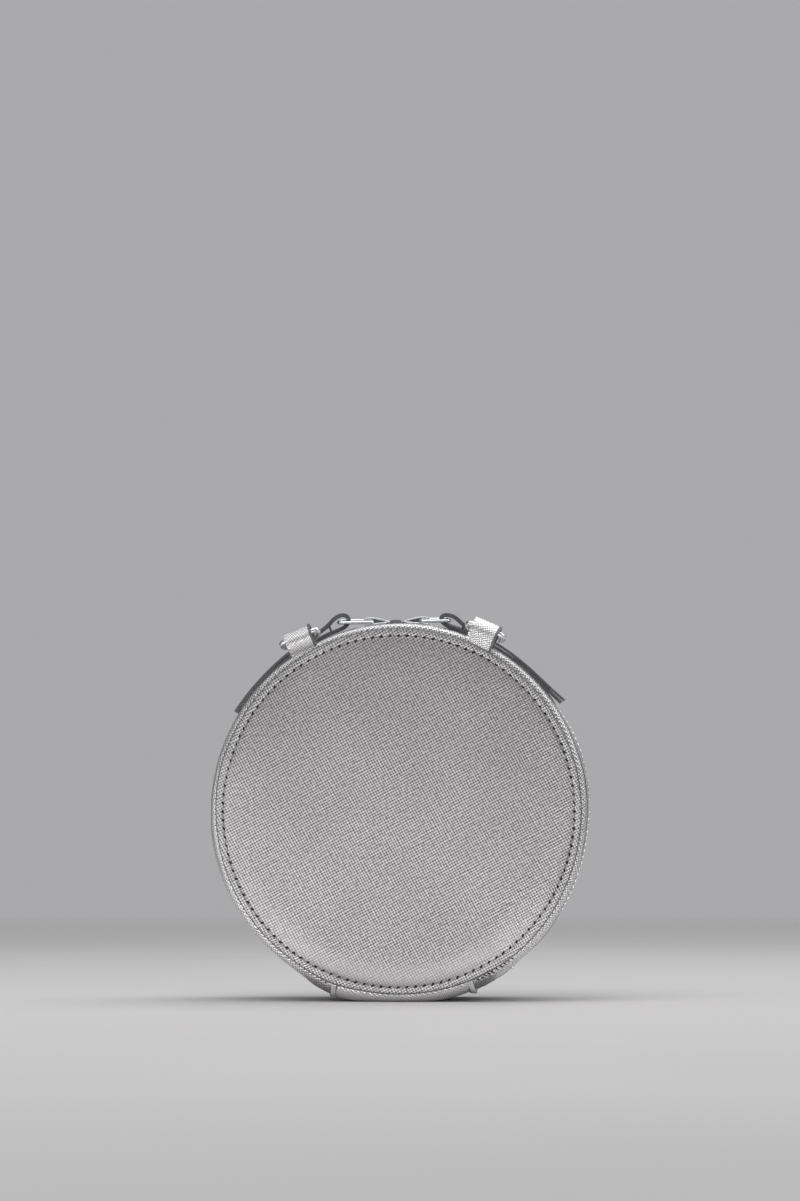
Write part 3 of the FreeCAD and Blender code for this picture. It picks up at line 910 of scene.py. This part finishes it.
for name, side in (("left", -1), ("right", 1)):
    fold_open(make_welt("welt_" + name, side), "silver_leather", "seam_welt_" + name)
print("welts on both ends of the base")

# %% [markdown]
# ## Linings
# Inside, a dark woven lining covers the boards, the strips and the base. Each is a thin spun sheet, turned under at
# its edge and slightly loose. Where the zip lies further in, the strip's lining gives way to it.

# %% Linings
PANEL_LINING = [
    (31.5, 0), (31.5, 30), (31.55, 60), (31.6, 74), (31.75, 77.4), (32.1, 78.3), (32.28, 78.2), (32.28, 74), (32.28, 0),
]
STRIP_LINING = [(30.2, 85.7), (25, 86.0), (18, 86.4), (10, 86.9), (7.2, 87.05), (6.6, 87.0)]
BASE_LINING = [(y, 88.4) for y in range(-28, 29, 4)]


def make_lining(name, section, start, end, steps, flat_on=None):
    """A spun sheet of lining."""
    bm = leather_mesh()
    spin_line(bm, section, start, end, steps)
    turn_outwards(bm)
    bmesh.ops.reverse_faces(bm, faces=bm.faces)
    for vert in bm.verts:
        angle = angle_of(vert.co)
        vert.co += outwards(angle) * min(zip_line(angle), 0)
    if flat_on is not None:
        stand_flat(bm, flat_on)
    lay_hide(bm, lambda point, place: (math.radians(angle_of(point)) * 60 * MM, place[1], 0))
    piece = make_piece(name, bm, lining_cloth)
    thicken(piece, 0.5)
    return piece


def make_panel_lining(name, side):
    """The lining on a panel's board."""
    bm = leather_mesh()
    spin_line(bm, [(side * y, radius) for y, radius in PANEL_LINING], 0, 360, 96)
    close_poles(bm)
    for vert in bm.verts:
        vert.co.y += side * 0.12 * MM * noise.noise(vert.co * 40)
    lay_hide(bm, lambda point, place: (point.x, point.z, 0))
    return make_piece(name, bm, lining_cloth)


belong(make_panel_lining("back_panel_lining", -1), "back_half", "lining", "back_lining")
belong(make_panel_lining("front_panel_lining", 1), "front_half", "lining", "front_lining")
back_strip = make_lining("back_strip_lining", [(-y, radius) for y, radius in STRIP_LINING], LEFT_END, RIGHT_END, 200)
belong(back_strip, "back_half", "lining", "back_gusset_lining")
front_strip = make_lining("front_strip_lining", STRIP_LINING, LEFT_END, RIGHT_END, 200)
fold_open(front_strip, "lining", "front_gusset_lining")
base_sheet = make_lining("base_sheet_lining", BASE_LINING, RIGHT_END + 1, 359 + LEFT_END, 40, 1.75)
fold_open(base_sheet, "lining", "base_lining")
print("linings on both panels,", back_strip.name, front_strip.name, base_sheet.name)

# %% [markdown]
# ## Zip tapes
# Two woven tapes are sewn under the laps, and a cord along the edge of each holds the teeth. A spun section makes a
# tape. It stands up between the two sliders, where nothing holds the chain down, and under the pulls, where its dark
# cloth is painted shade.

# %% Zip tapes
TAPE_SECTION = [(3.0, 88.25), (3.4, 88.5), (4.0, 88.3), (4.6, 88.0), (8, 87.95), (14.2, 87.95)]


def bulge(angle):
    """How far the free chain between the two sliders stands up, from 0 to 1."""
    return soft_step(-4.6, -3.1, angle) * (1 - soft_step(-0.1, 1.4, angle))


def make_tape(name, side):
    """One zip tape, with the corded edge that holds the teeth. Past the stops it closes up against the other."""
    bm = leather_mesh()
    spin_line(bm, [(side * y, radius) for y, radius in TAPE_SECTION], LEFT_END, RIGHT_END, 240)
    turn_outwards(bm)
    for vert in bm.verts:
        angle, off_axis = angle_of(vert.co), abs(vert.co.y) / MM
        past_stop = soft_step(145.5, 149, abs(angle))
        near_teeth = (1 - soft_step(4.0, 5.2, off_axis)) * (2.7 * bulge(angle) + 1.35 * tape_out(angle))
        vert.co.y -= side * 2.7 * MM * past_stop * (1 - soft_step(4.6, 9, off_axis))
        vert.co += outwards(angle) * (near_teeth + zip_line(angle))
    lay_hide(bm, along_strip)
    piece = make_piece(name, bm, tape_cloth)
    thicken(piece, 0.5)
    return piece


belong(make_tape("back_tape", -1), "back_half", "zip_tape", "zip_tape_back")
fold_open(make_tape("front_tape", 1), "zip_tape", "zip_tape_front")
print("tape width in mm:", round(TAPE_SECTION[-1][0] - TAPE_SECTION[0][0], 1))

# %% [markdown]
# ## Teeth and stops
# The teeth of the two rows stand in each other's gaps, so one row is shifted by half a pitch. One tooth is a bevelled
# block with a narrowed neck, and a duplicating spin makes the row. A longer block stops each end.

# %% Teeth and stops
TOOTH_STEP = 1.92
TEETH = 152
TOOTH_RADIUS = 88.3
STOP_ANGLE = 147


def ride_up(bm, legs):
    """Down the right side the teeth's legs stand a little proud, and between the sliders the free chain bulges."""
    for vert in bm.verts:
        angle = angle_of(vert.co)
        on_leg = legs * soft_step(1.4, 2.6, abs(vert.co.y) / MM) * soft_step(88, 89.5, radius_of(vert.co))
        on_right = soft_step(56, 68, angle) * (1 - soft_step(119, 125, angle) * (1 - soft_step(140, 144, angle)))
        proud = (0.1 + 0.25 * soft_step(86, 97, angle) + on_leg) * on_right
        vert.co += outwards(angle) * (proud + 0.8 * bulge(angle) + zip_line(angle))


def bevelled_cube(bm, shape, corner, segments):
    """A cube brought into shape by a matrix, with its edges bevelled."""
    made = bmesh.ops.create_cube(bm, size=1, matrix=shape)["verts"]
    edges = list({edge for vert in made for edge in vert.link_edges})
    bmesh.ops.bevel(bm, geom=edges, offset=corner, affect="EDGES", segments=segments, profile=0.5, material=-1)


def add_block(bm, seat, size, corner):
    """A bevelled block of a length, width and height in mm."""
    bevelled_cube(bm, seat @ Matrix.Diagonal((*(Vector(size) * MM), 1)), corner * MM, 1)


def make_teeth(name, side):
    """One row of teeth."""
    bm = bmesh.new()
    start = -TEETH * TOOTH_STEP / 2 + (TOOTH_STEP / 2 if side > 0 else 0)
    add_block(bm, strip_seat(side * 1.35, TOOTH_RADIUS, start), (1.3, 4.1, 2.7), 0.3)
    for vert in bm.verts:
        neck = 1 - 0.35 * math.exp(-((abs(vert.co.y) / MM - 1.2) / 0.5) ** 2)
        if neck < 0.9:
            vert.co = vert.co.lerp(round_point(start, vert.co.y / MM, TOOTH_RADIUS), 1 - neck)
    repeat_round(bm, TEETH - 1, (TEETH - 1) * TOOTH_STEP)
    ride_up(bm, 0.2 if side > 0 else 0.5)
    return make_piece(name, bm, zip_metal, sharp=35)


def make_stops(name, side):
    """The end stops of one row."""
    bm = bmesh.new()
    for angle in (-STOP_ANGLE, STOP_ANGLE):
        add_block(bm, strip_seat(side * 2.1, 88.2 + zip_line(angle), angle), (2.2, 2.5, 3.2), 0.4)
    return make_piece(name, bm, zip_metal, sharp=35)


belong(make_teeth("back_teeth", -1), "back_half", "zip_metal", "zip_teeth_back")
fold_open(make_teeth("front_teeth", 1), "zip_metal", "zip_teeth_front")
belong(make_stops("back_stops", -1), "back_half", "zip_metal", "zip_stops_back")
fold_open(make_stops("front_stops", 1), "zip_metal", "zip_stops_front")

# %% [markdown]
# ## Zip sliders
# Each slider is two plates with turned-down rails, and a bridge on top that holds the link. The pieces of one side
# are drawn for a slider at the top, in millimetres, with x ahead towards its pull and z away from the bag's axis.
# A seat matrix then brings them to their place, and a half turn about z serves the other side without mirroring.

# %% Zip sliders
SLIDERS = (("left", -1, -6.9), ("right", 1, 4.7))
TOP_PLATE, BOTTOM_PLATE = (89.75, 90.3), (84.8, 85.7)
BRIDGE = [
    (-6.6, 90.1), (-5.2, 90.9), (-3.0, 91.85), (-0.4, 92.7), (2.2, 93.4), (4.4, 93.6), (6.0, 93.2), (6.8, 92.1),
]
BRIDGE_WIDTH = 4.4


def slider_seat(side, angle):
    """The frame of one slider, in mm, from the bag's axis."""
    along, out = directions(angle)
    return seat_at(CENTRE, along * side, (0, side, 0), out) @ Matrix.Scale(MM, 4)


def add_plate(bm, bottom, top):
    """One plate of a slider, narrower at its nose and tail, with rounded edges."""
    half = [(6.2, 3.1), (5.6, 3.6), (2.0, 4.6), (-2.0, 4.6), (-5.7, 3.8), (-6.2, 3.3)]
    corners = half + [(x, -y) for x, y in reversed(half)]
    face = bm.faces.new([bm.verts.new((x, y, bottom)) for x, y in corners])
    raised = bmesh.ops.extrude_face_region(bm, geom=[face], use_keep_orig=True)["geom"]
    verts = only(BMVert, raised)
    bmesh.ops.translate(bm, verts=verts, vec=(0, 0, top - bottom))
    edges = list({edge for vert in verts for edge in vert.link_edges if edge.verts[0].co.z == edge.verts[1].co.z})
    bmesh.ops.bevel(bm, geom=edges, offset=0.3, affect="EDGES", segments=3, profile=0.5, material=-1)


def add_bar(bm, low_corner, high_corner):
    """A small block between two corners, with bevelled edges."""
    low_corner, high_corner = Vector(low_corner), Vector(high_corner)
    size = Matrix.Diagonal((*(high_corner - low_corner), 1))
    bevelled_cube(bm, Matrix.Translation((low_corner + high_corner) / 2) @ size, 0.2, 2)


def make_slider(name, side, angle):
    """The plates, rails and post of one slider, and the lock under its bridge, whose dark metal is painted shade."""
    bm = bmesh.new()
    add_plate(bm, *TOP_PLATE)
    add_plate(bm, *BOTTOM_PLATE)
    for rail in (-1, 1):
        ends = sorted((rail * 3.7, rail * 4.4))
        add_bar(bm, (-4.2, ends[0], 88.5), (3.6, ends[1], 90.1))
        add_bar(bm, (-4.2, ends[0], 85.4), (3.6, ends[1], 86.9))
    add_bar(bm, (-6.0, -0.55, 85.2), (-2.6, 0.55, 90.6))
    # The lock's two blocks fill the arch under the bridge; their dark metal is painted shade.
    plated = len(bm.faces)
    add_bar(bm, (-4.4, -1.3, 90.6), (-1.4, 1.3, 91.5))
    add_bar(bm, (-2.4, -1.3, 90.6), (1.6, 1.3, 92.2))
    for face in bm.faces[plated:]:
        face.material_index = 1
    bmesh.ops.recalc_face_normals(bm, faces=bm.faces)
    bmesh.ops.transform(bm, matrix=slider_seat(side, angle), verts=bm.verts)
    return make_piece(name, bm, chrome, painted_shade_metal, sharp=35)


def make_bridge(name, side, angle):
    """The arch that holds a slider's link."""
    bm = leather_mesh()
    draw_line(bm, [(x, -BRIDGE_WIDTH / 2, z) for x, z in BRIDGE])
    extrude_by(bm, bm.edges[:], (0, BRIDGE_WIDTH, 0))
    bmesh.ops.transform(bm, matrix=slider_seat(side, angle), verts=bm.verts)
    turn_outwards(bm)
    piece = make_piece(name, bm, chrome, sharp=50)
    subdivide(piece, 2)
    thicken(piece, 0.85)
    round_edges(piece, 0.25, 3)
    return piece


for name, side, angle in SLIDERS:
    belong(make_slider("slider_body_" + name, side, angle), "slider_" + name, "chrome", "slider_" + name)
    belong(make_bridge("slider_bridge_" + name, side, angle), "slider_" + name, "chrome")
print("sliders at", [angle for _, _, angle in SLIDERS], "degrees")

# %% [markdown]
# ## Wire links and D-rings
# Both are loops of round wire. A circle is carried along a path: it is extruded for a straight run and spun for a
# bend, and the last ring is merged with the first. That keeps the wire round through every corner.

# %% Wire links and D-rings


def bend_wire(wire, moves):
    """A closed loop of wire, in mm. A number runs straight ahead, and a pair (radius, degrees) bends to the left."""
    bm = bmesh.new()
    bmesh.ops.create_circle(bm, segments=14, radius=wire / 2, matrix=Matrix.Rotation(math.radians(90), 4, "Y"))
    edges, here, heading = bm.edges[:], Vector((0, 0, 0)), 0.0
    for move in moves:
        ahead = Vector((math.cos(heading), math.sin(heading), 0))
        if isinstance(move, tuple):
            bend, swing = move[0], math.radians(move[1])
            middle = here + Vector((-ahead.y, ahead.x, 0)) * bend
            steps = max(6, int(bend * swing / 0.7))
            made = bmesh.ops.spin(bm, geom=edges, cent=middle, axis=(0, 0, 1), angle=swing, steps=steps)["geom_last"]
            here = middle + Matrix.Rotation(swing, 3, "Z") @ (here - middle)
            heading += swing
        else:
            made = extrude_by(bm, edges, ahead * move)
            here += ahead * move
        edges = only(BMEdge, made)
    bmesh.ops.remove_doubles(bm, verts=bm.verts, dist=0.01)
    bmesh.ops.recalc_face_normals(bm, faces=bm.faces)
    return bm


# On each side: the middles of the link's bar under the bridge and of its other end, in the slider's frame.
LINK_ENDS = {
    -1: (Vector((1.8, 0, 91.6)), Vector((18.2, 0, 93.3))),
    1: (Vector((1.8, 0, 91.6)), Vector((15.7, 0, 92.95))),
}
LINK_WIRE, LINK_ROLL = 1.5, 9
RING_WIRE, RING_BAR, RING_CORNER, RING_BOW, RING_DROOP = 2.8, 13.6, 2.2, 9.0, -15


def make_link(name, side, angle):
    """The wire loop between a slider's bridge and its leather pull, rolled a little towards the near side."""
    bar, eye = LINK_ENDS[side]
    length, half, corner = (eye - bar).length, 5.2, 2.0
    turns = [(corner, 90), 2 * (half - corner), (corner, 90)]
    bm = bend_wire(LINK_WIRE, [length - 2 * corner, *turns, length - 2 * corner, *turns])
    bmesh.ops.translate(bm, verts=bm.verts, vec=(corner, -half, 0))
    lean = Matrix.Rotation(math.atan2(bar.z - eye.z, eye.x - bar.x), 4, "Y")
    roll = Matrix.Rotation(math.radians(side * LINK_ROLL), 4, "X")
    place = slider_seat(side, angle) @ Matrix.Translation(bar) @ lean @ roll
    bmesh.ops.transform(bm, matrix=place, verts=bm.verts)
    return make_piece(name, bm, chrome)


TABS = (("left", -1, -30.5), ("right", 1, 26.05))
TAB_HEADING, TAB_HEIGHT = 21.4, 9


def tab_seat(side, angle):
    """The frame of one ring tab, in mm: its eye at the origin, x across it, z up along it."""
    across, up = directions(side * TAB_HEADING)
    foot = round_point(angle, -30.4, 85)
    return seat_at(foot + up * TAB_HEIGHT * MM, across, (0, 1, 0), up) @ Matrix.Scale(MM, 4)


def make_ring(name, side, angle):
    """A D-ring, lying over behind its tab."""
    bm = bend_wire(RING_WIRE, [RING_BAR, (RING_CORNER, 90), (RING_BOW, 180), (RING_CORNER, 90)])
    bmesh.ops.translate(bm, verts=bm.verts, vec=(-RING_BAR / 2, 0, 0))
    place = tab_seat(side, angle) @ Matrix.Rotation(math.radians(RING_DROOP), 4, "X")
    bmesh.ops.transform(bm, matrix=place, verts=bm.verts)
    return make_piece(name, bm, chrome)


for name, side, angle in SLIDERS:
    belong(make_link("wire_link_" + name, side, angle), "link_" + name, "chrome", "pull_link_" + name)
for name, side, angle in TABS:
    belong(make_ring("ring_" + name, side, angle), "ring_" + name, "chrome", "d_ring_" + name)
print("link lengths in mm:", [round((eye - bar).length, 1) for bar, eye in LINK_ENDS.values()])

# %% [markdown]
# ## Straps
# The pulls and the ring tabs are straps folded round metal. A line drawn along the strap's side is extruded across
# its width, rounded by a subdivision surface, and thickened, and the thickness modifier gives the cut edges their
# dark paint. A vertex group can make the thickness change along the strap.

# %% Straps


def make_strap(name, points, width, seat, thickness, thick_at=None, thin_share=1.0, bend=None, painted=(1, 0.35)):
    """A strap along a line of points, extruded by a width, both in the seat's mm."""
    bm = leather_mesh()
    draw_line(bm, points)
    across = Vector(width).normalized()
    first, paint = painted
    painted_band(bm, across, Vector(width).length, paint, first)
    lay_hide(bm, lambda point, place: (point.dot(across) * MM, place[1] * MM, 0))
    if bend:
        for vert in bm.verts:
            vert.co += bend(vert.co)
    weights = [thick_at(vert.co) if thick_at else 1.0 for vert in bm.verts]
    bmesh.ops.transform(bm, matrix=seat, verts=bm.verts)
    piece = make_piece(name, bm, strap_silver, edge_paint_and_shade)
    group = piece.vertex_groups.new(name="thick")
    for index, weight in enumerate(weights):
        group.add([index], weight, "REPLACE")
    subdivide(piece, 3)
    wall = thicken(piece, thickness, edge_slot=first, offset=0.0)
    wall.vertex_group, wall.thickness_vertex_group = "thick", thin_share
    round_edges(piece, 0.18, 2)
    return piece


print("strap helper ready")

# %% [markdown]
# ## Leather pulls
# Each pull is a strip folded in half round the end of its link, and stitches ahead of the eye hold its two layers
# together; a dark bar there stands for the stitches and is painted shade in the pinch between the layers. Its line is a
# list of angles ahead of the slider and distances from the bag's axis, because it lies along the zip. It is thicker
# round its eye, and its far edge stands a little higher there.

# %% Leather pulls
PULL_WIDTH = 8


def polar(lead, radius):
    """A point at an angle ahead of the slider."""
    return Vector((radius * math.sin(math.radians(lead)), -PULL_WIDTH / 2, radius * math.cos(math.radians(lead))))


EYE = polar(10.07, 95.06)
PULL_LINES = {
    -1: [
        (51.7, 90.5), (47, 90.45), (42, 90.45), (36, 90.45), (30, 90.5), (24, 90.6), (19, 90.8), (15, 91), (12, 91),
        (9.8, 91.4), (8.5, 92.7), (8, 94.6), (8.2, 96.1), (9, 97.2), (10.2, 97.55), (11.6, 97.1), (12.9, 96.1),
        (13.9, 95.1), (15.1, 94.3), (16.6, 93.7), (18.5, 93.2), (22, 92.7), (26, 92.4), (30, 92.1), (36, 91.7),
        (42, 91.5), (47, 91.5), (51.7, 91.65),
    ],
    1: [
        (50.9, 91.8), (48.3, 90.95), (46.3, 90.45), (43.3, 90.3), (36.3, 90.25), (28.3, 90.4), (22, 90.5),
        (16.3, 90.6), (12.5, 90.6), (10.4, 90.65), (8.9, 91.2), (7.7, 92.2), (7.2, 93.5), (7.2, 94.7), (8, 95.7),
        (9.3, 96.25), (10.8, 95.95), (12.1, 95), (13.3, 93.9), (14.8, 93.1), (16.5, 92.5), (20, 92.2), (26.3, 91.85),
        (31.3, 91.6), (36.3, 91.45), (41.3, 91.55), (45.3, 91.95), (48.3, 92.75), (50.9, 93.75),
    ],
}
EYE_TWIST = {-1: 0.08, 1: 0.15}
END_TWIST = {-1: 0, 1: 0.1}
STITCH_SHADE_LEAD, STITCH_SHADE_TOP = 14, {-1: 94.3, 1: 93.0}


def near_eye(point):
    """1 round a pull's eye, and 0 along its laid part."""
    return 1 - soft_step(9, 20, math.hypot(point.x - EYE.x, point.z - EYE.z))


def make_pull(name, side, angle):
    """One leather pull."""

    def twist(point):
        """The far edge of the strap stands a little higher at the eye, and towards the right pull's end."""
        lift = EYE_TWIST[side] * near_eye(point) + END_TWIST[side] * soft_step(22, 60, point.x)
        return Vector((point.x, 0, point.z)).normalized() * lift * (PULL_WIDTH / 2 + side * point.y)

    points = [polar(lead, radius) for lead, radius in PULL_LINES[side]]
    return make_strap(name, points, (0, PULL_WIDTH, 0), slider_seat(side, angle), 1.9, near_eye, 0.64, twist)


def make_pull_stitch_shade(name, side, angle):
    """The dark bar between a pull's two layers: its stitches, and painted shade in the pinch."""
    bm = bmesh.new()
    add_bar(bm, (-0.45, -3.3, 91.4), (0.45, 3.3, STITCH_SHADE_TOP[side]))
    bmesh.ops.recalc_face_normals(bm, faces=bm.faces)
    place = slider_seat(side, angle) @ Matrix.Rotation(math.radians(STITCH_SHADE_LEAD), 4, "Y")
    bmesh.ops.transform(bm, matrix=place, verts=bm.verts)
    return make_piece(name, bm, edge_paint_and_shade, sharp=35)


for name, side, angle in SLIDERS:
    pull = make_pull("pull_" + name, side, angle)
    belong(pull, "pull_" + name, "pull_leather", "leather_pull_" + name)
    belong(make_pull_stitch_shade("pull_stitch_shade_" + name, side, angle), "pull_" + name, "pull_leather")
print("points along the pulls:", [len(line) for line in PULL_LINES.values()])

# %% [markdown]
# ## Ring tabs
# A short strap is folded round each D-ring, and both its ends are let in under the panel's edge. The two tabs share
# the line round the ring. Their feet differ: the right one is let in closer to the panel's face, and leans more.

# %% Ring tabs
TAB_WIDTH = 13
TAB_FEET = {
    -1: [(-0.4, -13), (-0.5, -9.5), (-1.2, -7.2), (-2.8, -5.2)],
    1: [(-2.4, -13), (-2.45, -10), (-2.8, -7.6), (-3.3, -5)],
}
TAB_LINE = [
    (-3.75, -2.8), (-3.8, -1.1), (-3, 0.2), (-2.05, 1.4), (-1, 2.5), (0.2, 3.35), (1.5, 3.3), (2.5, 2.4), (2.8, 0.8),
    (2.4, -1.6), (1, -4.6), (-0.3, -6.8), (0.6, -9), (0.6, -13),
]
TAB_YAW, TAB_TILT = -6, {-1: 0, 1: 2}
for name, side, angle in TABS:
    line = [Vector((-TAB_WIDTH / 2, y, z)) for y, z in TAB_FEET[side] + TAB_LINE]
    yaw = Matrix.Rotation(math.radians(TAB_YAW), 4, "Z")
    tilt = Matrix.Rotation(math.radians(TAB_TILT[side]), 4, "Y")
    seat = tab_seat(side, angle) @ (yaw @ tilt)
    tab = make_strap("tab_" + name, line, (TAB_WIDTH, 0, 0), seat, 1.3, painted=(0, 0.12))
    belong(tab, "back_half", "silver_leather", "ring_tab_" + name)
print("tabs at", [angle for _, _, angle in TABS], "degrees")

# %% [markdown]
# ## Floor
# The bag stands on a round sheet of plain pale paper. Away from the bag the paper fades out into the grey of the room,
# so no horizon shows from any side.

# %% Floor
PAPER_RADIUS = 3.0
PAPER_WHOLE = 0.7

sheet = bmesh.new()
bmesh.ops.create_circle(sheet, cap_ends=True, segments=96, radius=PAPER_RADIUS)
floor_paper = mottled("floor_paper", (0.63, 0.62, 0.612, 1), (0.66, 0.65, 0.642, 1), 3.0, 0.05 * MM, (0.85, 0.95))
tree = floor_paper.node_tree
reach = node(tree, "ShaderNodeVectorMath", {0: object_place(tree)}, operation="LENGTH").outputs["Value"]
fade = remap(tree, reach, PAPER_WHOLE, 0.95 * PAPER_RADIUS, 1.0, 0.0)
tree.links.new(fade, tree.nodes["Principled BSDF"].inputs["Alpha"])
floor = make_piece("floor", sheet, floor_paper)
print("paper radius in m:", PAPER_RADIUS)

# %% [markdown]
# ## Light
# A wide soft lamp above lights the rim, and a weak one in front fills the panel. A low strip in front and two small
# lamps that lie beside the bag stand in for white cards: they throw light up on the panel's lower part and on the
# strips. A box on the right gives that rim its shine. Light linking keeps these four off the paper. A black card
# behind the bag's left gives the metallic rim there something dark to reflect, and is seen in reflections alone.

# %% Light


def soft_lamp(name, place, aim, size, power):
    """A flat lamp of a width and height at a place, facing a point. The camera doesn't see it."""
    lamp = bpy.data.objects.new(name, bpy.data.lights.new(name, "AREA"))
    lamp.data.shape, lamp.data.energy = "RECTANGLE", power
    lamp.data.size, lamp.data.size_y = size
    lamp.visible_camera = False
    lamp.location = place
    lamp.rotation_euler = (Vector(aim) - Vector(place)).to_track_quat("-Z", "Y").to_euler()
    bpy.context.scene.collection.objects.link(lamp)
    return lamp


soft_lamp("overhead", (0.05, -0.1, 1.5), (0, -0.05, 0.1), (2.4, 1.0), 18)
soft_lamp("front_fill", (-0.4, -2.6, 0.4), (0, 0, 0.1), (1.4, 0.8), 0.3)
low_card = soft_lamp("low_card", (-0.12, -0.4, 0.035), (0, 0, 0.01), (0.9, 0.06), 0.78)
right_card = soft_lamp("right_card", (0.125, -0.07, 0.003), (0.125, -0.07, 1), (0.15, 0.18), 0.036)
left_card = soft_lamp("left_card", (-0.125, -0.07, 0.003), (-0.125, -0.07, 1), (0.15, 0.18), 0.022)
right_box = soft_lamp("right_box", (1.1, -0.15, 0.85), (0, 0, 0.1), (0.5, 0.7), 3.8)
spared = bpy.data.collections.new("not_lit_by_cards")
spared.objects.link(floor)
spared.collection_objects[0].light_linking.link_state = "EXCLUDE"
for lamp in (low_card, left_card, right_card, right_box):
    lamp.light_linking.receiver_collection = spared

card = bmesh.new()
facing = Matrix.Rotation(math.radians(-52), 4, "Z") @ Matrix.Rotation(math.radians(90), 4, "X")
card_place = Matrix.Translation((-0.55, 0.27, 0.35)) @ facing
bmesh.ops.create_grid(card, x_segments=1, y_segments=1, size=0.35, matrix=card_place)
black_paper = mottled("black_paper", (0.02, 0.02, 0.02, 1), (0.03, 0.03, 0.03, 1), 3.0, 0.05 * MM, (0.9, 1.0))
black_card = make_piece("black_card", card, black_paper)
black_card.visible_camera = black_card.visible_diffuse = black_card.visible_shadow = False

world = bpy.data.worlds.new("room")
bpy.context.scene.world = world
world.use_nodes = True
background = world.node_tree.nodes["Background"].inputs
background["Color"].default_value = (0.8, 0.8, 0.82, 1)
background["Strength"].default_value = 0.5

# %% [markdown]
# ## Finish
# The made pieces should fill the same box as the CAD model.

# %% Finish
bpy.context.view_layer.update()
